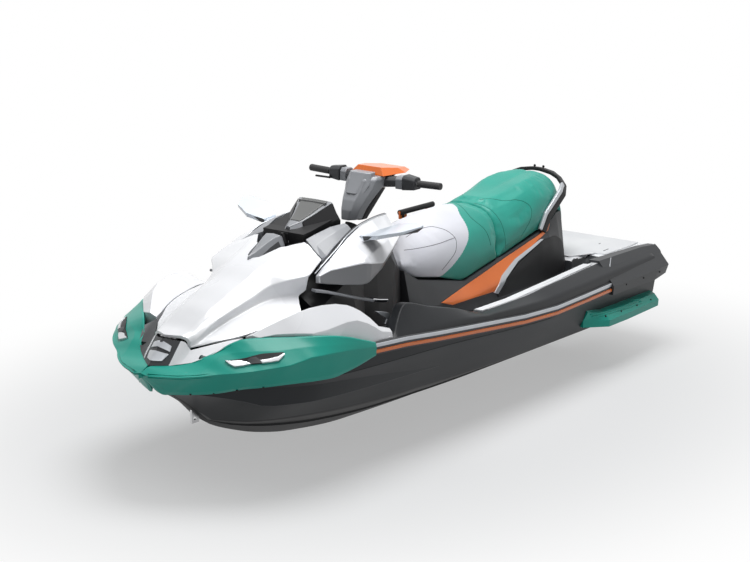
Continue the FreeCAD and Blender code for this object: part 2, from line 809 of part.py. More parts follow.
def make_mirrors():
    """Mirror shells, listed as sections from the foot on the fairing out to the tip."""
    spans = [
        (300, (bow - 1240, 985), (bow - 1160, 980), (bow - 1150, 1004), (bow - 1236, 1012)),
        (400, (bow - 1300, 1000), (bow - 1140, 1004), (bow - 1138, 1022), (bow - 1290, 1052)),
        (500, (bow - 1305, 1022), (bow - 1190, 1030), (bow - 1188, 1044), (bow - 1296, 1066)),
        (544, (bow - 1290, 1052), (bow - 1266, 1054), (bow - 1266, 1060), (bow - 1288, 1064))]
    wires = []
    for y, *corners in spans:
        wires.append(wire([vec(x, y, z) for x, z in corners]))
    foot = box((bow - 1230, bow - 1165), (270, 301), (960, 1000))
    shell = loft(wires).fuse(foot)
    return both_sides(shell.cut(piece("side_fairings").Solids[0]))


# Seat base sections: x, foot half width, side corner, top corner
base_sections = [
    (575, 215, (206, 560), (176, 800)),
    (640, 235, (214, 670), (188, 800)),
    (766, 250, (236, 690), (205, 744)),
    (864, 258, (246, 680), (208, 726)),
    (1200, 264, (262, 560), (210, 652)),
    (1495, 264, (258, 520), (208, 596)),
    (bow - 1706, 256, (246, 540), (204, 674)),
    (bow - 1600, 240, (228, 600), (196, 738))]


def base_loft(skin):
    """The seat base's shape, its flanks moved out by the skin's thickness."""
    wires = []
    for x, foot, side, top in base_sections:
        foot_z = plateau_z(x) - seat_sink
        half = [
            (0, foot_z), (foot + skin, foot_z), (side[0] + skin, side[1]),
            (top[0] + skin, top[1]), (0, top[1])]
        wires.append(full_section(x, half))
    return loft(wires)


def make_seat_base():
    return largest(base_loft(0).cut(piece("deck")))


base_top_z = straight_runs([(x, top[1]) for x, foot, side, top in base_sections])


# Seat sections: x, half width at the bottom, widest corner, shoulder, crown
front_seat_sections = [
    (1200, 206, (212, 760), (170, 900), 946),
    (1254, 207, (214, 740), (172, 895), 943),
    (1398, 207, (216, 720), (176, 905), 957),
    (1495, 206, (216, 715), (178, 905), 962),
    (bow - 1901, 206, (216, 730), (182, 890), 936),
    (bow - 1706, 200, (212, 760), (176, 890), 916),
    (bow - 1620, 190, (200, 790), (160, 880), 898),
    (bow - 1600, 182, (190, 800), (150, 862), 880)]
rear_seat_sections = [
    (575, 172, (176, 850), (120, 960), 985),
    (640, 184, (194, 880), (150, 990), 1012),
    (766, 200, (214, 900), (176, 1020), 1034),
    (873, 204, (218, 890), (178, 1030), 1046),
    (1053, 206, (218, 850), (176, 1010), 1034),
    (1175, 206, (214, 800), (172, 950), 985),
    (1199, 206, (212, 762), (170, 906), 955)]


def make_seat(sections):
    wires = []
    for x, low_width, side, shoulder, crown in sections:
        low = base_top_z(x)
        half = [(0, low), (low_width, low), side, shoulder, (shoulder[0] * 0.6, crown - 8), (0, crown)]
        wires.append(full_section(x, half))
    return loft(wires).cut(piece("seat_base"))


def make_seat_back():
    """The padded rear end that overhangs the rear deck."""
    wires = [
        full_section(575, [(0, 640), (168, 640), (172, 820), (118, 955), (0, 980)]),
        full_section(540, [(0, 660), (160, 660), (160, 815), (108, 930), (0, 952)])]
    return loft(wires)


def flank_panel(outline, thickness):
    """A panel of this outline, seen from the side, that lies on the seat base's flank."""
    face = Part.Face(wire([vec(x, 120, z) for x, z in outline]))
    prism = face.extrude(vec(0, 300, 0))
    skin = prism.common(base_loft(thickness)).cut(base_loft(0))
    return both_sides(largest(skin))


def make_orange_trim():
    return flank_panel([
        (bow - 1842, 539), (1510, 484), (1312, 507), (975, 650), (770, 728), (770, 741),
        (975, 702), (1495, 590)], 7)


def make_side_panel():
    return flank_panel([
        (1290, 500), (960, 645), (864, 690), (650, 676), (590, 606), (600, 500), (873, 466),
        (1400, 464)], 9)


def tube_path(points, radius):
    pieces = [rod(points[i], points[i + 1], radius) for i in range(len(points) - 1)]
    joints = [Part.makeSphere(radius, p) for p in points[1:-1]]
    return pieces[0].fuse(pieces[1:] + joints)


def make_grab_rail():
    points = [
        vec(760, 222, 730), vec(700, 218, 812), vec(566, 196, 900), vec(536, 140, 968),
        vec(545, 60, 1002)]
    mirrored = [vec(p.x, -p.y, p.z) for p in reversed(points)]
    rail = tube_path(points + mirrored, 13)
    return rail.cut([piece("seat_base"), piece("rear_seat")])


def make_rear_seat():
    return make_seat(rear_seat_sections).fuse(make_seat_back()).removeSplitter()


def make_board_rack():
    """Rack on the starboard gunwale that holds a tow board upright."""
    y = -515.0
    posts = []
    for x in (810, 1070):
        posts.append(rod(vec(x, -gunwale_y(x) - 4, gunwale_z(x) - 14), vec(x, y, 640), 12))
        posts.append(rod(vec(x, y, 640), vec(x, y, 775), 12))
        posts.append(Part.makeSphere(12, vec(x, y, 640)))
    bar = rod(vec(794, y, 783), vec(1093, y, 783), 15)
    return bar.fuse(posts).cut(piece("deck"))


# Stern corners: x, lip, crease and top of the port one
corner_sections = [
    (4, (470, 430), (484, 480), (440, 540)),
    (31, (520, 405), (538, 457), (450, 556)),
    (171, (536, 394), (544, 452), (446, 566)),
    (480, (548, 400), (554, 452), (454, 574)),
    (636, (554, 404), (560, 450), (462, 576))]


def make_stern_corners():
    wires = []
    for x, lip, crease, top in corner_sections:
        wires.append(side_section(x, [(400, lip[1]), lip, crease, top, (400, top[1] - 2)]))
    block = loft(wires)
    for other in (piece("deck"), piece("hull")):
        block = block.cut(other)
    return both_sides(largest(block))


def make_sponsons():
    sections = []
    for x, drop, out in ((140, 0, 0.75), (300, 4, 0.85), (500, 8, 0.95), (700, 12, 1), (850, 40, 0.2)):
        top = 322 + drop
        low = 246 + drop / 2
        points = [
            (hull_side_y(x, low), low), (hull_side_y(x, low) + 92 * out, low - 2),
            (hull_side_y(x, low) + 96 * out, low + 34), (hull_side_y(x, top) + 40 * out, top - 12),
            (hull_side_y(x, top), top)]
        sections.append(side_section(x, points))
    return both_sides(loft(sections))


def make_ride_plate():
    """Plate under the pump that carries the hull's V shape on to the transom."""
    sections = []
    for x in (40, transom_x, 300, tunnel_front):
        edge = bottom_z(x, tunnel_half_width)
        half = [
            (0, keel_z(x)), (tunnel_half_width, edge),
            (tunnel_half_width, edge + plate_thickness), (0, plate_thickness + keel_z(x))]
        sections.append(full_section(x, half))
    return loft(sections)


def make_grate():
    bars = []
    for y in (-52, -26, 0, 26, 52):
        low = bottom_z(inlet_rear, abs(y)) + 2
        bars.append(box((inlet_rear, inlet_front), (y - 4, y + 4), (low, low + 16)))
    for x in (inlet_rear, inlet_front - 14):
        ends = []
        for end_x in (x, x + 14):
            low = bottom_z(x, pump_bore) + 2
            ends.append(full_section(end_x, [
                (0, 3), (pump_bore, low), (pump_bore, low + 14), (0, 17)]))
        bars.append(loft(ends))
    return bars[0].fuse(bars[1:])


def make_pump():
    wall = pump_wall
    outer = [
        (tunnel_front, 0), (tunnel_front, pump_bore + wall + 14),
        (tunnel_front - 12, pump_bore + wall + 14), (tunnel_front - 12, pump_bore + wall),
        (pump_cone_start, pump_bore + wall), (exit_start, exit_bore + exit_wall),
        (exit_end, exit_bore + exit_wall), (exit_end, 0)]
    inner = [
        (tunnel_front + 1, 0), (tunnel_front + 1, pump_bore), (pump_cone_start, pump_bore),
        (exit_start, exit_bore), (exit_end - 1, exit_bore), (exit_end - 1, 0)]
    housing = revolved(outer, pump_z).cut(revolved(inner, pump_z))
    stator_x = pump_cone_start
    hub = rod(vec(stator_x, 0, pump_z), vec(stator_x + 28, 0, pump_z), impeller_hub)
    vanes = []
    for i in range(6):
        vane = box((stator_x, stator_x + 28), (-2, 2), (pump_z + 20, pump_z + pump_bore + 2))
        vane.rotate(vec(0, 0, pump_z), vec(1, 0, 0), 60 * i)
        vanes.append(vane)
    pins = []
    for side in (-1, 1):
        middle = vec(bucket_pivot_x, 0, pump_z)
        out = vec(0, side, 0)
        pins.append(rod(middle + out * 55, middle + out * (bucket_half_width - 1), 14))
        pins.append(rod(middle + out * 90, middle + out * (bucket_half_width + 12), pivot_pin))
        pivot = vec(nozzle_pivot_x, 0, pump_z)
        up = vec(0, 0, side)
        pins.append(rod(pivot + up * 45, pivot + up * (nozzle_bell - 1), 10))
        pins.append(rod(pivot + up * 45, pivot + up * (nozzle_bell + nozzle_wall + 4), pivot_pin))
    return housing.fuse([hub] + vanes + pins)


def make_nozzle():
    bell = nozzle_bell
    wall = nozzle_wall
    profile = [
        (nozzle_pivot_x + 12, bell), (nozzle_pivot_x + 12, bell + wall),
        (nozzle_pivot_x - 15, bell + wall), (nozzle_end, nozzle_exit + wall),
        (nozzle_end, nozzle_exit), (nozzle_pivot_x - 15, bell)]
    nozzle = revolved(profile, pump_z)
    hole = rod(vec(nozzle_pivot_x, 0, pump_z - 90), vec(nozzle_pivot_x, 0, pump_z + 90),
               pivot_pin + pin_play)
    return nozzle.cut(hole)


def make_bucket():
    """Reverse bucket: a curved cup between two cheek plates."""
    radius = bucket_radius
    wide = bucket_half_width + bucket_wall
    sweep = bucket_high_angle - bucket_low_angle
    pivot = vec(bucket_pivot_x, 0, pump_z)

    def sector(r, half_width):
        disc = Part.makeCylinder(
            r, 2 * half_width, pivot - vec(0, half_width, 0), vec(0, 1, 0), sweep)
        start = math.degrees(math.atan2(disc.CenterOfMass.z - pump_z,
                                        bucket_pivot_x - disc.CenterOfMass.x))
        middle = (bucket_low_angle + bucket_high_angle) / 2
        disc.rotate(pivot, vec(0, 1, 0), middle - start)
        return disc

    body = sector(radius + bucket_wall, wide)
    hollow = sector(radius, bucket_half_width)
    eyes = []
    for side in (-1, 1):
        start = pivot + vec(0, side * bucket_half_width, 0)
        eyes.append(rod(start, start + vec(0, side * bucket_wall, 0), 18))
    core = Part.makeCylinder(
        radius - 40, 2 * bucket_half_width, pivot - vec(0, bucket_half_width, 0), vec(0, 1, 0))
    bore = rod(pivot - vec(0, wide + 5, 0), pivot + vec(0, wide + 5, 0), pivot_pin + pin_play)
    return body.cut([hollow, core]).fuse(eyes).cut(bore)


def make_impeller():
    start = impeller_start
    end = start + impeller_length
    hub = rod(vec(start, 0, pump_z), vec(end, 0, pump_z), impeller_hub)
    tip = pump_bore - impeller_gap
    blades = []
    for i in range(blade_count):
        blade = box((start + 4, end - 4), (-2.5, 2.5), (pump_z + 20, pump_z + tip + 4))
        blade.rotate(vec((start + end) / 2, 0, pump_z), vec(0, 0, 1), 38)
        blade.rotate(vec(0, 0, pump_z), vec(1, 0, 0), 360 / blade_count * i)
        blades.append(blade)
    limit = rod(vec(start, 0, pump_z), vec(end, 0, pump_z), tip)
    return hub.fuse(blades).common(limit)


def make_shaft():
    end = pocket_start + engine_gap
    return rod(vec(impeller_start + impeller_length, 0, pump_z), vec(end - 0.5, 0, pump_z),
               shaft_radius)


def make_step():
    """Folding step: two arms, a tread tube and its rubber pad, shown folded up."""
    pivot_z = step_pivot_z
    top = pivot_z + step_arm
    pieces = []
    for side in (-1, 1):
        y = side * step_half_width
        eye = rod(vec(step_pivot_x, y - 11, pivot_z), vec(step_pivot_x, y + 11, pivot_z), 14)
        arm = rod(vec(step_pivot_x, y, pivot_z + 10), vec(step_pivot_x - 12, y, top), step_tube)
        pieces += [eye, arm, Part.makeSphere(step_tube, vec(step_pivot_x - 12, y, top))]
    tread = rod(vec(step_pivot_x - 12, -step_half_width, top),
                vec(step_pivot_x - 12, step_half_width, top), step_tube)
    pad = box((step_pivot_x - 34, step_pivot_x - 6), (-130, 130), (top - 14, top + 10))
    bore = rod(vec(step_pivot_x, -300, pivot_z), vec(step_pivot_x, 300, pivot_z),
               pivot_pin + pin_play)
    return tread.fuse(pieces + [pad]).cut(bore)


def make_step_brackets():
    y_inner = step_half_width - 22
    brackets = []
    for side in (-1, 1):
        ear = box((step_pivot_x - 14, transom_x), sorted((side * y_inner, side * (y_inner + 9))),
                  (step_pivot_z - 14, step_pivot_z + 14))
        pin = rod(vec(step_pivot_x, side * y_inner, step_pivot_z),
                  vec(step_pivot_x, side * (step_half_width + 14), step_pivot_z), pivot_pin)
        brackets.append(ear.fuse(pin))
    return Part.makeCompound(brackets)


def make_mast():
    """Handlebar cover, narrow at its foot and broad under the pad."""
    foot = steer_pivot_z
    levels = [
        (foot + 15, bow - 1520, bow - 1396, 58), (foot + 0.4 * bar_rise, bow - 1600, bow - 1392, 74),
        (bar_height - 20, bow - 1700, bow - 1450, 108), (bar_height + 22, bow - 1760, bow - 1520, 96)]
    wires = []
    for z, rear, front, wide in levels:
        wires.append(wire([
            vec(front, -wide * 0.6, z), vec(front, wide * 0.6, z), vec(front - 50, wide, z),
            vec(rear, wide, z), vec(rear, -wide, z), vec(front - 50, -wide, z)]))
    shaft = rod(steer_axis_point(-30), steer_axis_point(60), steer_shaft)
    return loft(wires).fuse(shaft)


def steer_axis_point(distance):
    """A point this far up the raked steering axis."""
    angle = math.radians(steer_rake)
    return vec(steer_pivot_x - distance * math.sin(angle), 0,
               steer_pivot_z + distance * math.cos(angle))


def steering_collar():
    return rod(steer_axis_point(-60), steer_axis_point(-8), 34)


def make_steering_neck():
    """Fixed collar on the console that carries the steering shaft."""
    bore = rod(steer_axis_point(-30.3), steer_axis_point(0), steer_shaft + pin_play)
    return steering_collar().cut(bore)


def make_bar_pad():
    low = bar_height + 22.3
    wires = [
        wire([vec(bow - 1560, -100, low), vec(bow - 1560, 100, low), vec(bow - 1700, 128, low),
              vec(bow - 1781, 90, low), vec(bow - 1781, -90, low), vec(bow - 1700, -128, low)]),
        wire([vec(bow - 1580, -70, low + 36), vec(bow - 1580, 70, low + 36),
              vec(bow - 1673, 100, low + 25), vec(bow - 1766, 70, low + 14),
              vec(bow - 1766, -70, low + 14), vec(bow - 1673, -100, low + 25)])]
    return loft(wires)


def bar_end(side):
    return vec(bar_x - 6, side * bar_half_width, bar_height)


def bar_root(side):
    return vec(bar_x + 4, side * 90, bar_height - 6)


def along_bar(side, distance):
    """A point on the bar, this far in from its outer end."""
    end = bar_end(side)
    inward = bar_root(side) - end
    inward.normalize()
    return end + inward * distance


def make_handlebar():
    bars = [rod(along_bar(s, 4), bar_root(s), bar_radius) for s in (-1, 1)]
    return Part.makeCompound(bars).cut(piece("handlebar_mast"))


def bar_sleeves(start, length, radius, end_cap):
    sleeves = []
    for side in (-1, 1):
        outer = along_bar(side, start)
        inner = along_bar(side, start + length)
        sleeve = rod(outer, inner, radius)
        bore = rod(along_bar(side, start + end_cap), bar_root(side), bar_radius)
        sleeves.append(sleeve.cut(bore))
    return Part.makeCompound(sleeves)


def make_grips():
    return bar_sleeves(0, grip_length, grip_radius, 4)


def make_switches():
    return bar_sleeves(grip_length + 14, 100, 30, -1)


def make_throttle():
    """Finger throttle under the starboard grip."""
    root = along_bar(-1, grip_length + 22)
    tip = along_bar(-1, grip_length - 62)
    blade = rod(root + vec(34, 0, -24), tip + vec(40, 0, -26), 5)
    arm = rod(root + vec(10, 0, -20), root + vec(34, 0, -24), 6)
    return blade.fuse(arm).cut(piece("switch_housings"))


def make_bow_eye():
    x = bow - eye_setback
    z = keel_z(x) - eye_drop
    plate = box((x - 26, x + 20), (-5, 5), (z - 22, keel_z(x) + 16))
    hole = rod(vec(x, -20, z), vec(x, 20, z), eye_radius)
    return plate.cut([piece("hull"), hole])


def make_stern_eyes():
    plate = box((transom_x - 34, transom_x), (300, 308), (300, 340))
    hole = rod(vec(transom_x - 18, 290, 320), vec(transom_x - 18, 320, 320), 8)
    return both_sides(plate.cut(hole))


makers = {
    "hull": make_hull,
    "deck": make_deck,
    "engine_block": make_engine,
    "footwell_mats": make_mats,
    "rear_deck_pad": make_rear_pad,
    "rub_rail": make_rub_rail,
    "orange_stripe": make_orange_stripe,
    "silver_stripe": make_silver_stripe,
    "bow_bumper": make_bumper,
    "side_decks": make_side_decks,
    "nose_grille": make_grille,
    "nose_panels": make_nose_panels,
    "hood": make_hood,
    "cowl": make_cowl,
    "display": make_display,
    "hood_vent": make_hood_vent,
    "cowl_base": make_cowl_base,
    "cowl_wings": make_cowl_wings,
    "storage_tub": make_storage_tub,
    "hood_hinge": make_hood_hinge,
    "side_fairings": make_fairings,
    "console": make_console,
    "mirrors": make_mirrors,
    "seat_base": make_seat_base,
    "front_seat": lambda: make_seat(front_seat_sections),
    "rear_seat": make_rear_seat,
    "orange_trim": make_orange_trim,
    "rear_side_panels": make_side_panel,
    "grab_rail": make_grab_rail,
    "board_rack": make_board_rack,
    "stern_corners": make_stern_corners,
    "sponsons": make_sponsons,
    "ride_plate": make_ride_plate,
    "intake_grate": make_grate,
    "pump_housing": make_pump,
    "steering_nozzle": make_nozzle,
    "reverse_bucket": make_bucket,
    "impeller": make_impeller,
    "drive_shaft": make_shaft,
    "boarding_step": make_step,
    "step_brackets": make_step_brackets,
    "handlebar_mast": make_mast,
    "steering_neck": make_steering_neck,
    "handlebar_pad": make_bar_pad,
    "handlebar": make_handlebar,
    "grips": make_grips,
    "switch_housings": make_switches,
    "throttle_lever": make_throttle,
    "bow_eye": make_bow_eye,
    "stern_eyes": make_stern_eyes,
}

os.makedirs("parts", exist_ok=True)
made = {}
print("bow eye at", round(bow - eye_setback, 3), round(keel_z(bow - eye_setback) - eye_drop, 3))
for name in makers:
    shape = piece(name).copy()
    shape.translate(vec(-craft_length / 2, 0, -waterline_height))
    solids = shape.Solids
    print(name, len(solids), "solids", shape.isValid(), round(shape.Volume / 1e6, 2), "litres")
    shape.exportStep("parts/" + name + ".step")
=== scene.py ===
import bpy
import math
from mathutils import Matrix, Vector


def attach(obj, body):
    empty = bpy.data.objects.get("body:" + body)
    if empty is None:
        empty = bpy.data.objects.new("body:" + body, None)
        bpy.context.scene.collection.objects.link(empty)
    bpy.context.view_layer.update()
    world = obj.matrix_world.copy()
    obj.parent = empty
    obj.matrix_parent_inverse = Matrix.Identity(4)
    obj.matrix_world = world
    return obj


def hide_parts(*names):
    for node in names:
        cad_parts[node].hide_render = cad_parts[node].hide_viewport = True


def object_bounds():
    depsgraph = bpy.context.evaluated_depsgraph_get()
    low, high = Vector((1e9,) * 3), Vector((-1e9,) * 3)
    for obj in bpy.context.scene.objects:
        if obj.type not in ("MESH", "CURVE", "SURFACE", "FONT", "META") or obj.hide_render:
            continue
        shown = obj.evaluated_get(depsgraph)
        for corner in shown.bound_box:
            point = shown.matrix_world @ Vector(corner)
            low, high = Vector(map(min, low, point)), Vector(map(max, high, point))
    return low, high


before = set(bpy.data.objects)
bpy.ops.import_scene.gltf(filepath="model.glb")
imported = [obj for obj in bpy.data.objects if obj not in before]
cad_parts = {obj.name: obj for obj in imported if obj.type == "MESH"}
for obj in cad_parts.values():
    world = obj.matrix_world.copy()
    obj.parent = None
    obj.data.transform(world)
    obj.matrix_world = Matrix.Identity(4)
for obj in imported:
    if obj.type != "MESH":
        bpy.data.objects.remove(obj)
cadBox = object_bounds()
print("frame loaded, box", cadBox)

# Places are drawn in millimetres: x from the stern, y to port, z from the keel
sternX = cadBox[0][0]
keelZ = cadBox[0][2]
bow = 1000 * (cadBox[1][0] - cadBox[0][0])


def at(x, y, z):
    return Vector((sternX + x / 1000, y / 1000, keelZ + z / 1000))


def fromBow(rows):
    # Rows that start with the way back from the bow, as rows that start with x
    return [(bow - row[0], *row[1:]) for row in rows]


# Camera at the photograph's angle, and soft studio light
camera = {"place": (9220, 5740, 2962), "yaw": -141.68, "pitch": -14.0, "lens": 93.6}
lamps = {
    "top": {"place": (1700, 200, 5200), "size": 3.4, "power": 262, "aim": (1800, 0, 500)},
    "front": {"place": (7600, 1200, 3600), "size": 3.0, "power": 27, "aim": (2600, 0, 700)},
    "side": {"place": (1400, 6200, 2600), "size": 3.4, "power": 22, "aim": (1700, 0, 400)},
}
worldLook = {"level": 0.14, "colour": (0.93, 0.96, 1.0)}


def addCamera():
    data = bpy.data.cameras.new("camera")
    data.lens = camera["lens"]
    data.sensor_width = 36
    data.clip_end = 200
    seen = bpy.data.objects.new("camera", data)
    bpy.context.scene.collection.objects.link(seen)
    seen.location = at(*camera["place"])
    seen.rotation_euler = (
        math.radians(90 + camera["pitch"]), 0, math.radians(camera["yaw"] - 90))
    bpy.context.scene.camera = seen


def addLamps():
    for name, look in lamps.items():
        data = bpy.data.lights.new(name, "AREA")
        data.shape = "DISK"
        data.size = look["size"]
        data.energy = look["power"]
        lamp = bpy.data.objects.new(name, data)
        bpy.context.scene.collection.objects.link(lamp)
        lamp.location = at(*look["place"])
        aim = at(*look["aim"]) - lamp.location
        lamp.rotation_euler = aim.to_track_quat("-Z", "Y").to_euler()


def addNode(tree, kind, values=()):
    node = tree.nodes.new("ShaderNode" + kind)
    for name, value in dict(values).items():
        node.inputs[name].default_value = value
    return node


def combine(tree, operation, first, second, clamp=False):
    node = addNode(tree, "Math")
    node.operation = operation
    node.use_clamp = clamp
    tree.links.new(first, node.inputs[0])
    tree.links.new(second, node.inputs[1])
    return node.outputs[0]


def seenShare(tree):
    # 1 where a surface is seen straight, mirrored or through glass, and 0 where it only lights
    rays = addNode(tree, "LightPath").outputs
    seen = combine(tree, "ADD", rays["Is Camera Ray"], rays["Is Glossy Ray"])
    return combine(tree, "ADD", seen, rays["Is Transmission Ray"], clamp=True)


def setWorld():
    world = bpy.data.worlds.new("studio")
    bpy.context.scene.world = world
    world.use_nodes = True
    tree = world.node_tree
    tree.nodes.clear()
    out = addNode(tree, "OutputWorld")
    seen = addNode(tree, "Background", {"Strength": 1.0, "Color": (1, 1, 1, 1)})
    lit = addNode(tree, "Background", {"Strength": worldLook["level"],
                                       "Color": (*worldLook["colour"], 1)})
    mix = addNode(tree, "MixShader")
    tree.links.new(seenShare(tree), mix.inputs["Fac"])
    tree.links.new(lit.outputs["Background"], mix.inputs[1])
    tree.links.new(seen.outputs["Background"], mix.inputs[2])
    tree.links.new(mix.outputs["Shader"], out.inputs["Surface"])


# Finishes: colour and its second tone, how fine the patches of tone are, roughness and its spread,
# how fine and how deep the grain is, and then metal, clear coat, shine, sheen and a grain of cells
# where a finish has them
finishes = {
    "whiteGelcoat": ((0.84, 0.85, 0.87), (0.80, 0.81, 0.84), 1.4, 0.27, 0.05, 900, 0.02,
                     {"coat": 0.5}),
    "hullGelcoat": ((0.028, 0.030, 0.033), (0.023, 0.025, 0.028), 2.0, 0.36, 0.07, 700, 0.03,
                    {"shine": 0.2}),
    "tealPlastic": ((0.010, 0.352, 0.272), (0.008, 0.318, 0.246), 3.0, 0.36, 0.06, 1100, 0.05,
                    {"shine": 0.3}),
    "charcoalPlastic": ((0.050, 0.052, 0.056), (0.038, 0.040, 0.043), 4.0, 0.44, 0.08, 1400, 0.12,
                        {"shine": 0.3}),
    "blackPlastic": ((0.008, 0.008, 0.009), (0.012, 0.012, 0.013), 5.0, 0.46, 0.1, 1400, 0.12,
                     {"shine": 0.22}),
    "brightTrim": ((0.72, 0.73, 0.75), (0.64, 0.65, 0.67), 8.0, 0.2, 0.05, 1500, 0.02,
                   {"metal": 0.5}),
    "greyPlastic": ((0.285, 0.295, 0.315), (0.25, 0.26, 0.28), 3.0, 0.38, 0.07, 1300, 0.1,
                    {"coat": 0.15}),
    # A grey painted as shade on the fairings' lower faces
    "paintedShadeGrey": ((0.20, 0.205, 0.215), (0.17, 0.175, 0.185), 3.0, 0.34, 0.06, 1200, 0.04,
                   {"coat": 0.25}),
    "paleShell": ((0.74, 0.80, 0.87), (0.70, 0.76, 0.84), 5.0, 0.24, 0.05, 1200, 0.02,
                  {"coat": 0.6}),
    "orangeGloss": ((0.80, 0.175, 0.018), (0.72, 0.145, 0.014), 5.0, 0.3, 0.06, 1300, 0.04,
                    {"coat": 0.3}),
    "silverPaint": ((0.50, 0.52, 0.55), (0.45, 0.47, 0.50), 8.0, 0.3, 0.06, 2400, 0.05,
                    {"metal": 0.6, "coat": 0.4}),
    "chromeTrim": ((0.78, 0.79, 0.81), (0.70, 0.71, 0.74), 8.0, 0.12, 0.05, 1500, 0.02,
                   {"metal": 1.0}),
    "castAluminium": ((0.52, 0.53, 0.54), (0.40, 0.41, 0.42), 14.0, 0.42, 0.14, 500, 0.25,
                      {"metal": 0.85}),
    "stainless": ((0.60, 0.60, 0.61), (0.52, 0.52, 0.53), 20.0, 0.24, 0.1, 1800, 0.06,
                  {"metal": 1.0}),
    "castBlock": ((0.10, 0.10, 0.11), (0.07, 0.07, 0.075), 9.0, 0.6, 0.12, 400, 0.4,
                  {"metal": 0.3}),
    "whiteMat": ((0.78, 0.79, 0.80), (0.71, 0.72, 0.74), 5.0, 0.7, 0.06, 700, 0.5,
                 {"cells": True}),
    "blackRubber": ((0.014, 0.014, 0.015), (0.024, 0.024, 0.025), 9.0, 0.62, 0.08, 900, 0.4,
                    {"cells": True}),
    "railRubber": ((0.030, 0.032, 0.035), (0.040, 0.042, 0.046), 4.0, 0.5, 0.07, 900, 0.15, {}),
    "smokedPlastic": ((0.125, 0.128, 0.126), (0.105, 0.108, 0.106), 5.0, 0.3, 0.06, 1400, 0.05,
                      {"coat": 0.4}),
    "blackGelcoat": ((0.008, 0.008, 0.009), (0.011, 0.011, 0.012), 3.0, 0.5, 0.07, 700, 0.03,
                     {"shine": 0.25}),
    "seamThread": ((0.10, 0.10, 0.12), (0.07, 0.07, 0.08), 9.0, 0.7, 0.1, 1600, 0.3, {}),
    "tealSeam": ((0.003, 0.12, 0.09), (0.003, 0.09, 0.07), 9.0, 0.7, 0.1, 1600, 0.3, {}),
    "whiteVinyl": ((0.76, 0.77, 0.82), (0.70, 0.71, 0.77), 5.0, 0.46, 0.07, 520, 0.45,
                   {"cells": True, "sheen": 0.12}),
    "tealVinyl": ((0.008, 0.330, 0.256), (0.006, 0.285, 0.222), 5.0, 0.46, 0.07, 520, 0.45,
                  {"cells": True, "sheen": 0.12}),
    "displayGlass": ((0.008, 0.010, 0.013), (0.012, 0.015, 0.02), 12.0, 0.08, 0.03, 1500, 0.01,
                     {"coat": 0.8}),
}
grainHeight = 0.0004
coatRough = 0.08
made = {}


def link(tree, start, outName, end, inName):
    tree.links.new(start.outputs[outName], end.inputs[inName])


def finish(name):
    # A moulded or painted surface: two close tones in patches, uneven gloss and a fine grain
    if name in made:
        return made[name]
    colour, tone, patchScale, rough, spread, grainScale, depth, more = finishes[name]
    material = bpy.data.materials.new(name)
    material.use_nodes = True
    tree = material.node_tree
    shader = tree.nodes["Principled BSDF"]
    place = addNode(tree, "TexCoord")
    patches = addNode(tree, "TexNoise", {"Scale": patchScale, "Detail": 4})
    tones = addNode(tree, "ValToRGB")
    for element, spot, shown in zip(tones.color_ramp.elements, (0.3, 0.7), (tone, colour)):
        element.position = spot
        element.color = (*shown, 1)
    gloss = addNode(tree, "MapRange", {"To Min": rough - spread, "To Max": rough + spread})
    cells = more.get("cells")
    grain = addNode(tree, "TexVoronoi" if cells else "TexNoise", {"Scale": grainScale})
    bump = addNode(tree, "Bump", {"Strength": depth, "Distance": grainHeight})
    link(tree, place, "Object", patches, "Vector")
    link(tree, place, "Object", grain, "Vector")
    link(tree, patches, "Fac", tones, "Fac")
    link(tree, patches, "Fac", gloss, "Value")
    link(tree, tones, "Color", shader, "Base Color")
    link(tree, gloss, "Result", shader, "Roughness")
    link(tree, grain, "Distance" if cells else "Fac", bump, "Height")
    link(tree, bump, "Normal", shader, "Normal")
    for socket, key in (("Metallic", "metal"), ("Coat Weight", "coat"), ("Sheen Weight", "sheen")):
        shader.inputs[socket].default_value = more.get(key, 0)
    shader.inputs["Coat Roughness"].default_value = coatRough
    shader.inputs["Specular IOR Level"].default_value = more.get("shine", 0.5)
    made[name] = material
    return material


# Modelling helpers
def smoothLine(places):
    # A rounded line through the given places that never swings past them
    xs = [p[0] for p in places]
    ys = [p[1] for p in places]
    count = len(xs)
    if count == 2:
        return lambda x: ys[0] + (ys[1] - ys[0]) * (x - xs[0]) / (xs[1] - xs[0])
    rise = [(ys[i + 1] - ys[i]) / (xs[i + 1] - xs[i]) for i in range(count - 1)]
    slope = [rise[0]]
    for i in range(1, count - 1):
        sameWay = rise[i - 1] * rise[i] > 0
        slope.append(2 * rise[i - 1] * rise[i] / (rise[i - 1] + rise[i]) if sameWay else 0.0)
    slope.append(rise[-1])

    def value(x):
        x = min(max(x, xs[0]), xs[-1])
        i = min(max(k for k in range(count) if xs[k] <= x), count - 2)
        width = xs[i + 1] - xs[i]
        t = (x - xs[i]) / width
        start = ys[i] * (1 + 2 * t) * (1 - t) ** 2 + ys[i + 1] * t * t * (3 - 2 * t)
        return start + width * t * (1 - t) * (slope[i] * (1 - t) - slope[i + 1] * t)

    return value


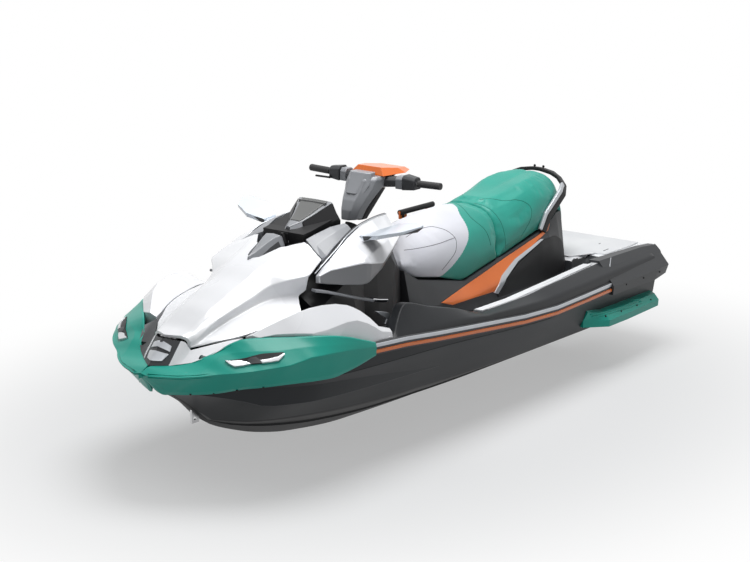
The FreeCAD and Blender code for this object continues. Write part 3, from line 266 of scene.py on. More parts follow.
def roundedOutline(points, soft, crown=(), arcSteps=4, spanSteps=3):
    # An open outline with its corners rounded by soft and its spans bulged by crown
    last = len(points) - 1
    arcs = []
    for i, point in enumerate(points):
        here = Vector(point)
        if i in (0, last):
            arcs.append([here])
            continue
        before = Vector(points[i - 1]) - here
        after = Vector(points[i + 1]) - here
        cut = min(soft[i], 0.42 * before.length, 0.42 * after.length)
        first = here + before.normalized() * cut
        final = here + after.normalized() * cut
        arcs.append([])
        for k in range(arcSteps + 1):
            t = k / arcSteps
            arcs[i].append(first * (1 - t) ** 2 + here * 2 * t * (1 - t) + final * t * t)
    line = []
    for i in range(last):
        line += arcs[i]
        start = arcs[i][-1]
        run = arcs[i + 1][0] - start
        side = Vector((run.y, -run.x)).normalized() if run.length > 0 else Vector((0, 0))
        for k in range(1, spanSteps):
            t = k / spanSteps
            line.append(start + run * t + side * (crown[i] if crown else 0) * 4 * t * (1 - t))
    return line + arcs[last]


def deselectAll():
    if bpy.context.object and bpy.context.object.mode != "OBJECT":
        bpy.ops.object.mode_set(mode="OBJECT")
    bpy.ops.object.select_all(action="DESELECT")


def choose(piece):
    deselectAll()
    piece.select_set(True)
    bpy.context.view_layer.objects.active = piece


def gridSkin(name, rows):
    # A grid primitive whose points are laid on the given rows of places, in millimetres
    deselectAll()
    across = len(rows[0]) - 1
    along = len(rows) - 1
    bpy.ops.mesh.primitive_grid_add(x_subdivisions=across, y_subdivisions=along, size=1)
    piece = bpy.context.object
    piece.name = name
    flat = [c for row in rows for spot in row for c in at(*spot)]
    piece.data.vertices.foreach_set("co", flat)
    piece.data.update()
    return piece


def modify(piece, kind, **values):
    choose(piece)
    modifier = piece.modifiers.new(kind.lower(), kind)
    for key, value in values.items():
        setattr(modifier, key, value)
    bpy.ops.object.modifier_apply(modifier=modifier.name)


def joinHalves(piece):
    modify(piece, "MIRROR", use_axis=(False, True, False), use_mirror_merge=True,
           merge_threshold=0.0008)


def mirrorCopy(piece):
    modify(piece, "MIRROR", use_axis=(False, True, False), use_mirror_merge=False)
    return piece


def editAll(piece, *steps):
    # Runs edit-mode operators on the whole mesh
    choose(piece)
    bpy.ops.object.mode_set(mode="EDIT")
    bpy.ops.mesh.select_all(action="SELECT")
    for operator, values in steps:
        operator(**values)
    bpy.ops.object.mode_set(mode="OBJECT")


def mergeDoubles(piece, distance=0.00005):
    editAll(piece, (bpy.ops.mesh.remove_doubles, {"threshold": distance}),
            (bpy.ops.mesh.dissolve_degenerate, {"threshold": distance}))


def faceOutwards(piece):
    editAll(piece, (bpy.ops.mesh.normals_make_consistent, {"inside": False}))


def closeEnds(piece):
    editAll(piece, (bpy.ops.mesh.fill_holes, {"sides": 0}))


def bevelEdges(piece, width, segments=2, angle=30):
    modify(piece, "BEVEL", width=width / 1000, segments=segments, limit_method="ANGLE",
           angle_limit=math.radians(angle), use_clamp_overlap=True)


def shade(piece, angle=32):
    choose(piece)
    bpy.ops.object.shade_smooth_by_angle(angle=math.radians(angle))


def crisp(piece, angle=40):
    # Broad faces keep their own shade and the bevels between them turn the light
    shade(piece, angle)
    modify(piece, "WEIGHTED_NORMAL", keep_sharp=True, weight=60, mode="FACE_AREA")


def loft(name, sections, soft, crown=(), steps=6, wall=0, edge=3, edgeAngle=32):
    # A skin across the middle through sections of (x, point, point, ...), each point (y, z)
    curves = []
    for j in range(1, len(sections[0])):
        curves.append([smoothLine([(s[0], s[j][axis]) for s in sections]) for axis in (0, 1)])
    rows = []
    for i in range(len(sections) - 1):
        low, high = sections[i][0], sections[i + 1][0]
        last = steps + 1 if i == len(sections) - 2 else steps
        for k in range(last):
            x = low + (high - low) * k / steps
            outline = roundedOutline([(c[0](x), c[1](x)) for c in curves], soft, crown)
            rows.append([(x, spot[0], spot[1]) for spot in outline])
    piece = gridSkin(name, rows)
    joinHalves(piece)
    mergeDoubles(piece)
    if wall:
        faceOutwards(piece)
        modify(piece, "SOLIDIFY", thickness=wall / 1000, offset=-1)
    else:
        closeEnds(piece)
    faceOutwards(piece)
    if edge:
        bevelEdges(piece, edge, 2, edgeAngle)
    crisp(piece, 32)
    return piece


def facets(name, rings, edge, angle=10, mirror=True):
    # A flat-sided shell through rings of (x, y, z), its edges rounded by edge millimetres
    piece = gridSkin(name, [ring + [ring[0]] for ring in rings])
    mergeDoubles(piece)
    closeEnds(piece)
    faceOutwards(piece)
    bevelEdges(piece, edge, 3, angle)
    if mirror:
        mirrorCopy(piece)
    crisp(piece)
    return piece


def cut(piece, cutter, tolerant=False):
    # Takes the cutter's shape out of the piece and removes the cutter
    modify(piece, "BOOLEAN", operation="DIFFERENCE", object=cutter, solver="EXACT",
           use_self=tolerant, use_hole_tolerant=tolerant)
    bpy.data.objects.remove(cutter)


def block(name, low, high):
    # A box primitive between two corners
    deselectAll()
    a, b = at(*low), at(*high)
    bpy.ops.mesh.primitive_cube_add(size=1, location=(a + b) / 2)
    piece = bpy.context.object
    piece.name = name
    piece.scale = b - a
    bpy.ops.object.transform_apply(location=True, rotation=True, scale=True)
    return piece


def pathCurve(name, places, steps):
    deselectAll()
    bpy.ops.curve.primitive_nurbs_path_add()
    piece = bpy.context.object
    piece.name = name
    spline = piece.data.splines[0]
    spline.points.add(len(places) - len(spline.points))
    for spot, place in zip(spline.points, places):
        spot.co = (*at(*place), 1)
    spline.order_u = 3
    spline.use_endpoint_u = True
    spline.resolution_u = steps
    piece.location = (0, 0, 0)
    choose(piece)
    return piece


def thicken(radius, roundness):
    # Makes the chosen curve a closed rail
    curve = bpy.context.object.data
    curve.bevel_depth = radius / 1000
    curve.bevel_resolution = roundness
    curve.use_fill_caps = True
    bpy.ops.object.convert(target="MESH")
    piece = bpy.context.object
    mergeDoubles(piece)
    faceOutwards(piece)
    return piece


def tube(name, places, radius):
    # A rail on a smooth curve through the given places
    pathCurve(name, places, 8)
    piece = thicken(radius, 5)
    shade(piece, 50)
    return piece


def seam(name, target, places, radius, mirror=True):
    # A sewn or moulded line that follows the target's surface near these places
    piece = pathCurve(name, places, 10)
    bpy.ops.object.convert(target="MESH")
    modify(piece, "SHRINKWRAP", target=target, wrap_method="NEAREST_SURFACEPOINT")
    bpy.ops.object.convert(target="CURVE")
    piece = thicken(radius, 2)
    if mirror:
        mirrorCopy(piece)
    shade(piece, 60)
    return piece


def dress(piece, look, body, nodes=()):
    # Finish, body and the solid that the piece stands for
    piece.data.materials.clear()
    piece.data.materials.append(finish(look))
    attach(piece, body)
    if nodes:
        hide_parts(*nodes)
    return piece


def prism(name, outline, low, high, plan=True):
    # A cutter over an outline of (x, y) seen from above, or of (x, z) seen from the side
    deselectAll()
    bpy.ops.mesh.primitive_circle_add(vertices=len(outline), fill_type="NGON")
    piece = bpy.context.object
    piece.name = name
    for vertex, (x, other) in zip(piece.data.vertices, outline):
        vertex.co = at(x, other, low) if plan else at(x, low, other)
    tall = (high - low) / 1000
    push = (0, 0, tall) if plan else (0, tall, 0)
    editAll(piece, (bpy.ops.mesh.extrude_region_move, {"TRANSFORM_OT_translate": {"value": push}}))
    faceOutwards(piece)
    return piece


def secondFinish(piece, look, chosen):
    # Gives the faces for which chosen(centre, normal) holds another finish, in design places
    piece.data.materials.append(finish(look))
    zero = at(0, 0, 0)
    for polygon in piece.data.polygons:
        if chosen((polygon.center - zero) * 1000, polygon.normal):
            polygon.material_index = 1


def splitSide(piece, line):
    # Cuts the faces along a side view line of (z, x), so that a second finish ends cleanly on it
    def bisect(place, normal, low, high):
        zero = at(0, 0, 0)
        deselectAll()
        choose(piece)
        for polygon in piece.data.polygons:
            polygon.select = low < (polygon.center - zero).z * 1000 < high
        bpy.ops.object.mode_set(mode="EDIT")
        bpy.ops.mesh.bisect(plane_co=place, plane_no=normal, threshold=0.00001)
        bpy.ops.object.mode_set(mode="OBJECT")

    bpy.context.tool_settings.mesh_select_mode = (False, False, True)
    for z, x in line[1:-1]:
        bisect(at(x, 0, z), (0, 0, 1), -9999, 9999)
    for (z0, x0), (z1, x1) in zip(line, line[1:]):
        bisect(at(x0, 0, z0), (z1 - z0, 0, x0 - x1), z0, z1)
    bpy.context.tool_settings.mesh_select_mode = (True, False, False)


def sweep(name, path, wide, thick, out, edge=3):
    # A bar of flat section through the path. Its width lies along the out direction
    rings = []
    for i, spot in enumerate(path):
        ahead = Vector(path[min(i + 1, len(path) - 1)]) - Vector(path[max(i - 1, 0)])
        side = Vector(out[i] if isinstance(out, list) else out)
        side = (side - side.project(ahead)).normalized() * wide / 2
        lift = ahead.cross(side).normalized() * thick / 2
        here = Vector(spot)
        rings.append([tuple(here + a * side + b * lift)
                      for a, b in ((-1, -1), (1, -1), (1, 1), (-1, 1))])
    return facets(name, rings, edge, mirror=False)


def patch(name, target, rim, thick, edge=0.8, mirror=True):
    # A thin plate with this rim that lies on the target's surface
    deselectAll()
    bpy.ops.mesh.primitive_circle_add(vertices=len(rim), fill_type="NGON")
    piece = bpy.context.object
    piece.name = name
    for vertex, spot in zip(piece.data.vertices, rim):
        vertex.co = at(*spot)
    editAll(piece, (bpy.ops.mesh.quads_convert_to_tris, {}),
            (bpy.ops.mesh.subdivide, {"number_cuts": 4}))
    modify(piece, "SHRINKWRAP", target=target, wrap_method="NEAREST_SURFACEPOINT")
    modify(piece, "SOLIDIFY", thickness=thick / 1000, offset=0)
    faceOutwards(piece)
    bevelEdges(piece, edge, 2, 40)
    if mirror:
        mirrorCopy(piece)
    crisp(piece, 40)
    return piece


def rivets(name, places, radius, mirror=True):
    # Domed fasteners at these places
    heads = []
    for place in places:
        deselectAll()
        bpy.ops.mesh.primitive_uv_sphere_add(segments=16, ring_count=8, radius=radius / 1000,
                                             location=at(*place))
        heads.append(bpy.context.object)
    deselectAll()
    for head in heads:
        head.select_set(True)
    bpy.context.view_layer.objects.active = heads[0]
    bpy.ops.object.join()
    piece = bpy.context.object
    piece.name = name
    bpy.ops.object.transform_apply(location=True, rotation=True, scale=True)
    if mirror:
        mirrorCopy(piece)
    shade(piece, 60)
    return piece


def bothSides(outline):
    # The outline of (x, y) with its port half mirrored to starboard
    return list(outline) + [(x, -y) for x, y in reversed(outline) if y > 0]


def around(x, half):
    # A closed ring at x from the port half's (y, z) places, bottom middle to top middle
    ring = [(x, y, z) for y, z in half]
    return ring + [(x, -y, z) for y, z in reversed(half) if y > 0]


def refine(node, look, slot, edge, angle, body):
    # The solid's own shape with its seams of facets joined and its edges rounded
    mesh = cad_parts[node].data.copy()
    piece = bpy.data.objects.new(node + "Shell", mesh)
    bpy.context.scene.collection.objects.link(piece)
    mergeDoubles(piece)
    editAll(piece, (bpy.ops.mesh.dissolve_limited, {"angle_limit": math.radians(2)}))
    faceOutwards(piece)
    bevelEdges(piece, edge, 2, angle)
    crisp(piece, 34)
    return dress(piece, look, body, [node])


# Hull: dark satin side, a lip under the rail, and a V bottom with strakes, black partly as painted
# shade
hullLook = {
    "keel": [(100, 0), (1500, 0)] + fromBow([(1364, 15), (955, 60), (741, 108), (586, 160),
             (399, 244), (305, 331), (184, 423), (150, 438)]),
    "chineY": [(100, 470), (500, 480), (1500, 480)] + fromBow([(1282, 440), (946, 385),
               (747, 322), (546, 230), (456, 160), (382, 60), (300, 35), (150, 22)]),
    "chineZ": [(100, 238), (1500, 246)] + fromBow([(1282, 256), (546, 262), (382, 272),
               (300, 345), (150, 445)]),
    "lipY": [(100, 500), (564, 528), (1222, 565), (1500, 572)] + fromBow([(1560, 576),
             (1340, 576), (889, 564), (613, 535), (500, 490), (392, 425), (305, 340), (250, 290),
             (209, 235), (150, 130)]),
    "lipZ": [(100, 413), (564, 413), (1222, 411), (1500, 425)] + fromBow([(1340, 476), (889, 492),
             (613, 500), (392, 505), (209, 480), (150, 466)]),
    # Of the bottom's width: the strake's two edges and the chine flat's inner edge
    "strake": (0.42, 0.50, 9), "chineFlat": 0.94,
    # Of the side's width and height: the knee below the lip
    "knee": (0.52, 0.46), "lipReturn": (22, 4), "roofIn": (60, 0.7), "roofDrop": 118,
    "soft": [0, 12, 2, 2, 8, 7, 60, 5, 5, 5, 0],
    "stations": [100 + 50 * i for i in range(67)] + [bow - 150],
    "tunnel": ((-20, -150, -60), (450, 150, 366)),
    "inlet": ((430, -78, -60), (1010, 78, 200)),
}


def makeHull():
    look = hullLook
    line = {key: smoothLine(look[key]) for key in ("keel", "chineY", "chineZ", "lipY", "lipZ")}
    inner, outer, deep = look["strake"]
    flat, (kneeY, kneeZ) = look["chineFlat"], look["knee"]
    returnY, returnZ = look["lipReturn"]
    roofIn, roofShare = look["roofIn"]
    rows = []
    for x in look["stations"]:
        keel, cy, cz = line["keel"](x), line["chineY"](x), line["chineZ"](x)
        ly, lz = line["lipY"](x), line["lipZ"](x)
        drop = deep * min(1, max(0, (cy - 60) / 200))  # the strake fades out towards the bow
        roof = lz - min(look["roofDrop"], 0.45 * (lz - keel))
        points = [
            (0, keel), (cy * inner, keel + (cz - keel) * inner),
            (cy * outer, keel + (cz - keel) * outer - drop),
            (cy * outer + 2, keel + (cz - keel) * outer + 2),
            (cy * flat, keel + (cz - keel) * flat - drop * 0.5), (cy, cz),
            (cy + (ly - cy) * kneeY, cz + (lz - cz) * kneeZ), (ly, lz),
            (ly - returnY, lz + returnZ), (max(ly - roofIn, ly * roofShare), roof), (0, roof)]
        rows.append([(x, spot[0], spot[1]) for spot in roundedOutline(points, look["soft"])])
    hull = gridSkin("hullShell", rows)
    joinHalves(hull)
    mergeDoubles(hull)
    closeEnds(hull)
    faceOutwards(hull)
    cut(hull, block("tunnelCut", *look["tunnel"]))
    cut(hull, block("inletCut", *look["inlet"]))
    shade(hull)
    dress(hull, "hullGelcoat", "hull", ["hull"])
    # Black below the chine: partly the hull's two-tone paint, partly painted shade on the
    # downward-facing bottom
    secondFinish(hull, "blackGelcoat", lambda c, n: c.z < line["chineZ"](c.x) + 3)


# Deck: dark flange and gunwale, footwell and rear deck
deckLook = {
    "flangeTop": 100, "flangeMost": 573,
    # Foot of the footwell outside and inside, and edge of the plateau: the most each is out, and
    # its share of the gunwale
    "wellOut": (430, 0.82), "wellIn": (275, 0.6), "middle": (270, 0.55),
    "sill": (50, 0.15, 4),  # inner edge of the gunwale: most and share that it is in, and its drop
    "knuckle": (0.45, 0.55, 4),  # shares of lip and gunwale, and how far it stands out
    "white": {"above": 535, "behind": 1040, "inside": 3},  # where the rear deck is white
    "gunwaleY": [(0, 430), (513, 450), (1161, 500), (1500, 516)] + fromBow([(1560, 530),
                 (1376, 520), (1213, 500), (1040, 545), (889, 540), (613, 515), (500, 470),
                 (392, 405), (305, 320), (250, 270), (209, 215), (150, 110)]),
    "gunwaleZ": [(0, 550), (513, 564), (1161, 556), (1400, 545)] + fromBow([(1800, 549),
                 (1560, 617), (1376, 663), (1213, 706), (1130, 650), (1040, 575), (150, 575)]),
    "floor": [(0, 545), (400, 545), (480, 500), (600, 475), (700, 425), (900, 342),
              (1400, 330)] + fromBow([(1400, 330), (1213, 400), (1130, 560), (1040, 575),
              (150, 575)]),
    "plateau": [(0, 545), (560, 545), (600, 455), (1500, 455)] + fromBow([(1560, 508),
                (1340, 532), (1213, 542), (1130, 560), (1040, 575), (150, 575)]),
    "skin": 10, "step": 30, "soft": [0, 3, 16, 40, 7, 9, 26, 18, 14, 0],
    "tub": ((bow - 590, -165, 300), (bow - 300, 165, 800)),
    # White strip along the gunwale: its front end, the step and count of its places, and its place
    # inside and above the gunwale's edge
    "ledge": {"from": 1740, "step": 42, "count": 18, "inside": 17, "above": 1},
}


def makeDeck():
    look = deckLook
    line = {key: smoothLine(look[key]) for key in ("gunwaleY", "gunwaleZ", "floor", "plateau")}
    lipY, lipZ = smoothLine(hullLook["lipY"]), smoothLine(hullLook["lipZ"])
    lipPart, topPart, proud = look["knuckle"]
    sillIn, sillPart, sillDrop = look["sill"]

    def within(key, gy):
        return min(look[key][0], gy * look[key][1])

    rows = []
    x = 0
    while x < bow - 150:
        gy, gz = line["gunwaleY"](x), line["gunwaleZ"](x)
        ly, lz = lipY(max(x, 100)) - (0 if x > 100 else 30), lipZ(max(x, 100))
        floor, plateau = line["floor"](x), line["plateau"](x)
        flange = min(lz + look["flangeTop"], look["flangeMost"])
        points = [
            (ly - 24, lz + 5), (ly, lz + 1), (ly, min(flange, gz - 8)),
            (lipPart * ly + topPart * gy + proud, 0.5 * flange + 0.5 * gz), (gy, gz),
            (gy - min(sillIn, gy * sillPart), gz - sillDrop),
            (within("wellOut", gy), floor), (within("wellIn", gy), floor),
            (within("middle", gy), plateau), (0, plateau)]
        rows.append([(x, spot[0], spot[1]) for spot in roundedOutline(points, look["soft"])])
        x += look["step"]
    deck = gridSkin("deckShell", rows)
    joinHalves(deck)
    mergeDoubles(deck)
    faceOutwards(deck)
    modify(deck, "SOLIDIFY", thickness=look["skin"] / 1000, offset=-1)
    cut(deck, block("tubCut", *look["tub"]))
    shade(deck)
    dress(deck, "hullGelcoat", "hull", ["deck"])
    white = look["white"]
    secondFinish(deck, "whiteGelcoat", lambda c, n: n.z > 0.5 and c.z > white["above"]
                 and c.x < white["behind"]
                 and abs(c.y) < line["gunwaleY"](c.x) - white["inside"])
    ledge = look["ledge"]
    path = []
    for i in range(ledge["count"]):
        x = ledge["from"] - ledge["step"] * i
        gy, gz = line["gunwaleY"](x), line["gunwaleZ"](x)
        path.append((x, gy - ledge["inside"], gz + ledge["above"]))
    dress(mirrorCopy(sweep("ledgeStrips", path, 26, 6, (0, 1, 0), 1)), "whiteGelcoat", "hull")


# Bumper: x, lower edge, outer crease, top edge
bumperLook = {
    "wall": 12, "soft": [0, 4, 3, 4, 5, 5, 4, 0],
    "lip": (0.2, 0.17),  # of the way from the lower edge to the crease
    # Shares of the way from the crease to the top where the brow stands, and how far it is raised
    "brow": [(2691, 0.3), (2910, 0.4), (3048, 0.46), (3156, 0.46), (3232, 0.52), (3298, 0.66),
             (3338, 0.82), (3361, 0.80), (3420, 0.45), (3473, 0.12), (3574, 0.1)],
    "browLift": [(2691, 0), (3048, 3), (3156, 7), (3361, 8), (3420, 5), (3480, 1), (3574, 0)],
    "sections": fromBow([
        (889, (584, 545), (590, 588), (584, 608)),
        (809, (584, 531), (591, 600), (582, 636)),
        (700, (574, 512), (590, 614), (570, 672)),
        (613, (562, 502), (588, 622), (552, 691)),
        (540, (536, 502), (582, 627), (516, 699)),
        (484, (508, 502), (568, 628), (462, 700)),
        (430, (478, 502), (546, 617), (406, 700)),
        (377, (440, 499), (522, 606), (356, 698)),
        (332, (392, 493), (488, 600), (310, 694)),
        (295, (346, 488), (461, 596), (274, 678)),
        (257, (306, 481), (428, 591), (238, 649)),
        (211, (252, 470), (376, 584), (210, 629)),
        (160, (160, 459), (302, 576), (152, 600)),
        (107, (46, 450), (244, 569), (78, 587)),
        (53, (16, 505), (166, 563), (20, 584)),
        (6, (3, 552), (44, 559), (4, 564))]),
}


def makeBumper():
    rows = []
    share, lift = smoothLine(bumperLook["brow"]), smoothLine(bumperLook["browLift"])
    for x, low, crease, top in bumperLook["sections"]:
        lipY, lipZ = bumperLook["lip"]
        lip = (low[0] + lipY * (crease[0] - low[0]) + 3, low[1] + lipZ * (crease[1] - low[1]))
        part, raised = share(x), lift(x)
        brow = (crease[0] + part * (top[0] - crease[0]) + 0.4 * raised,
                crease[1] + part * (top[1] - crease[1]) + raised)
        inner = (max(top[0] - 14, 0), top[1] + 1)
        rows.append((x, (max(low[0] - 15, 0), low[1] + 3), low, lip, crease, brow, top, inner,
                     (max(top[0] - 16, 0), top[1] - 20)))
    bumper = loft("bumperShell", rows, bumperLook["soft"], wall=bumperLook["wall"], edge=2)
    dress(bumper, "tealPlastic", "hull", ["bow_bumper"])


# Lamp set in each side of the bumper: dark well, two silver blades and the notch between them
lampLook = {
    "well": [(3357, 292, 620), (3298, 364, 634), (3250, 408, 649), (3211, 447, 652),
             (3183, 471, 652), (3188, 478, 644), (3222, 477, 624), (3276, 431, 617),
             (3306, 396, 613), (3332, 372, 607), (3356, 344, 603), (3358, 316, 611)],
    "blades": [[(3357, 292, 620), (3343, 319, 619), (3321, 345, 621), (3311, 374, 619),
                (3306, 396, 612), (3332, 373, 605), (3356, 345, 601), (3359, 316, 610)],
               [(3274, 418, 624), (3242, 446, 629), (3214, 467, 636), (3186, 476, 648),
                (3187, 481, 641), (3222, 479, 623), (3251, 455, 618), (3276, 432, 615)]],
    "notch": [(3306, 372, 626), (3291, 378, 635), (3275, 396, 637), (3272, 418, 626),
              (3276, 432, 616), (3306, 397, 612)],
}
bumperBolts = [(3427, 152, 464), (3377, 241, 473), (3318, 322, 486), (3240, 404, 496),
               (2786, 583, 562)]


def dressBumper():
    bumper = bpy.data.objects["bumperShell"]
    dress(patch("lampWells", bumper, lampLook["well"], 9), "blackPlastic", "hull")
    for rim in lampLook["blades"]:
        dress(patch("lampBlades", bumper, rim, 18, 1.6), "brightTrim", "hull")
    dress(patch("lampNotches", bumper, lampLook["notch"], 12, 1.2), "charcoalPlastic", "hull")
    dress(rivets("bumperBolts", bumperBolts, 5.5), "blackPlastic", "hull")


# Side decks: x, inner edge, ridge, crease, outer edge
sideDeckLook = {
    "edge": 3.5,
    "sections": fromBow([
        (1040, (500, 630), (545, 634), (560, 618), (565, 596)),
        (968, (470, 652), (538, 657), (558, 636), (564, 604)),
        (924, (430, 700), (524, 703), (556, 664), (562, 611)),
        (875, (400, 726), (508, 743), (552, 692), (563, 620)),
        (836, (382, 738), (498, 766), (549, 708), (562, 630)),
        (807, (374, 746), (489, 780), (547, 720), (560, 638)),
        (742, (362, 750), (478, 797), (545, 726), (556, 652)),
        (673, (350, 744), (457, 802), (542, 722), (552, 668)),
        (613, (340, 738), (438, 799), (532, 714), (543, 686)),
        (545, (326, 727), (421, 790), (510, 710), (508, 698)),
        (484, (308, 713), (390, 767), (456, 714), (446, 699)),
        (430, (285, 700), (348, 738), (400, 712), (390, 699)),
        (380, (269, 690), (306, 703), (350, 700), (340, 696))]),
}


def makeSideDecks():
    rings = []
    for x, inner, ridge, crease, outer in sideDeckLook["sections"]:
        foot = min(577, outer[1] - 20)
        rings.append([(x, y, z) for y, z in (
            (outer[0] - 4, foot), outer, crease, ridge, inner, (inner[0], foot))])
    decks = facets("sideDeckShells", rings, sideDeckLook["edge"], 16)
    dress(rivets("sideDeckRivets", [(2563, 561, 603)], 4.5), "stainless", "hull")
    dress(decks, "whiteGelcoat", "hull", ["side_decks"])


# Hood: x, middle height, valley, crest, fold, lower edge
hoodLook = {
    "wall": 11, "soft": [0, 34, 11, 7, 14, 0], "crown": [0, -1, 0, 0, -3],
    "dome": (0.74, 0.36),  # shares of the way from the middle to the valley, across and down
    "sections": fromBow([
        (945, 1006, (189, 985), (270, 951), (271, 892), (330, 820)),
        (870, 986, (161, 966), (278, 932), (274, 862), (340, 800)),
        (782, 962, (138, 937), (293, 892), (268, 809), (350, 760)),
        (715, 938, (128, 918), (235, 871), (219, 797), (345, 752)),
        (652, 915, (123, 887), (181, 851), (178, 788), (338, 743)),
        (570, 876, (119, 842), (159, 816), (156, 771), (322, 733)),
        (484, 844, (117, 812), (149, 790), (144, 749), (299, 715)),
        (412, 813, (113, 782), (142, 770), (133, 730), (260, 696)),
        (352, 788, (108, 760), (135, 750), (125, 710), (226, 684)),
        (296, 755, (105, 733), (128, 721), (122, 692), (180, 673)),
        (235, 720, (104, 703), (116, 687), (118, 669), (133, 657)),
        (200, 711, (96, 691), (105, 674), (103, 660), (107, 650)),
        (140, 699, (90, 675), (99, 664), (99, 655), (105, 648))]),
    "lip": fromBow([(159, 0), (199, 88), (210, 116), (210, 300), (0, 300)]),
    "rear": fromBow([(940, 1012), (922, 979), (889, 937), (779, 885), (782, 820), (655, 734)]),
    "recess": fromBow([(715, 0), (738, 34), (765, 46), (806, 58), (846, 70), (860, 88),
               (883, 104), (920, 134), (937, 142), (1000, 142)]),
}


def makeHood():
    look = hoodLook
    across, down = look["dome"]
    rows = []
    for x, middle, valley, crest, fold, low in look["sections"]:
        dome = (across * valley[0], middle - down * (middle - valley[1]))
        rows.append((x, (0, middle), dome, valley, crest, fold, low))
    hood = loft("hoodShell", rows, look["soft"], look["crown"], wall=look["wall"], edge=0)
    rear = [(bow - 1100, 1300), (bow - 940, 1300)] + look["rear"] + [
        (bow - 655, 500), (bow - 1100, 500)]
    cut(hood, prism("lipCut", bothSides(look["lip"]), 500, 900), True)
    cut(hood, prism("rearCut", rear, -600, 600, plan=False), True)
    cut(hood, prism("recessCut", bothSides(look["recess"]), 800, 1200), True)
    mergeDoubles(hood)
    bevelEdges(hood, 1.6, 2, 55)
    crisp(hood, 36)
    dress(hood, "whiteGelcoat", "hood", ["hood"])


# Side fairings: x, inner top, facet, ridge, lower outer corner, lower inner corner
fairingLook = {
    "edge": 5,
    "sections": fromBow([
        (842, (276, 872), (290, 876), (302, 878), (304, 842), (276, 838)),
        (900, (268, 900), (296, 903), (318, 896), (331, 830), (268, 826)),
        (951, (266, 925), (308, 917), (345, 902), (356, 821), (266, 817)),
        (1030, (264, 973), (350, 932), (386, 912), (394, 812), (264, 808)),
        (1060, (260, 985), (386, 922), (396, 911), (398, 812), (260, 808)),
        (1092, (252, 997), (380, 930), (402, 904), (392, 814), (252, 810)),
        (1216, (222, 1026), (345, 944), (374, 881), (362, 846), (222, 838)),
        (1330, (208, 1040), (308, 960), (338, 921), (332, 896), (208, 888)),
        (1428, (200, 1044), (256, 968), (303, 956), (297, 948), (200, 944)),
        (1459, (198, 1042), (246, 992), (286, 982), (282, 972), (198, 966))]),
    "piping": [(2738, 272, 882), (2643, 264, 926), (2586, 262, 955), (2547, 262, 978),
               (2502, 252, 999), (2443, 238, 1014), (2371, 222, 1029), (2250, 206, 1042),
               (2152, 198, 1046), (2124, 196, 1044)],
    # Finish, radius, and how far out and up it lies of the piping's line
    "pipes": [("pipingSilver", "silverPaint", 3.2, 1, 0),
              ("pipingBlack", "blackRubber", 4.5, -6, -1)],
}


def makeFairings():
    ridgeZ = smoothLine(sorted((s[0], s[3][1]) for s in fairingLook["sections"]))
    rings = []
    for x, top, facet, ridge, low, inner in fairingLook["sections"]:
        rings.append([(x, y, z) for y, z in (inner, low, ridge, facet, top)])
    fairings = facets("fairingShells", rings, fairingLook["edge"], 9)
    dress(fairings, "whiteGelcoat", "hull", ["side_fairings"])
    # Painted shade: faces that point down, and steep side faces below the ridge, get a darker grey
    secondFinish(fairings, "paintedShadeGrey", lambda c, n: n.z < -0.35 or (
        n.z < 0.35 and abs(n.y) > 0.8 and c.z < ridgeZ(c.x) - 8))
    for side in (1, -1):
        for name, look, radius, out, up in fairingLook["pipes"]:
            path = [(x, side * (y + out), z + up) for x, y, z in fairingLook["piping"]]
            dress(tube(name, path, radius), look, "hull")


# Cowl: a plate that narrows to the front over a body in painted-shade black, and two cheeks beside
# the vent
cowlLook = {
    "plate": [(2402, 101, 1131), (2454, 76, 1102), (2496, 57, 1078), (2545, 37, 1056),
              (2602, 8, 1036)],
    "plateThick": 10,
    "inlayShare": 0.78, "bodyFloor": 975,
    "foot": [(2402, 152, 1060), (2454, 130, 1046), (2496, 104, 1028), (2545, 76, 1008),
             (2602, 46, 988), (2650, 24, 976)],
    "cheek": [(2600, 10, 1037), (2545, 39, 1057), (2567, 62, 1004), (2640, 32, 980)],
    # Rim of the black sheets painted as shadow under the plate's sides
    "paintedShadow": [(2541, 41, 1056), (2404, 104, 1129), (2412, 148, 1062), (2563, 66, 1005)],
    "neck": ((2604, -30, 970), (2640, 30, 1018)),
}
cowlWide = smoothLine([(x, wide) for x, wide, z in cowlLook["plate"]])
cowlTop = smoothLine([(x, z) for x, wide, z in cowlLook["plate"]])


def slab(name, rim, thick, edge=1.5):
    # A flat piece from its rim of places, thickened downwards
    low = [(x, y, z - thick) for x, y, z in rim]
    return facets(name, [low, rim], edge)


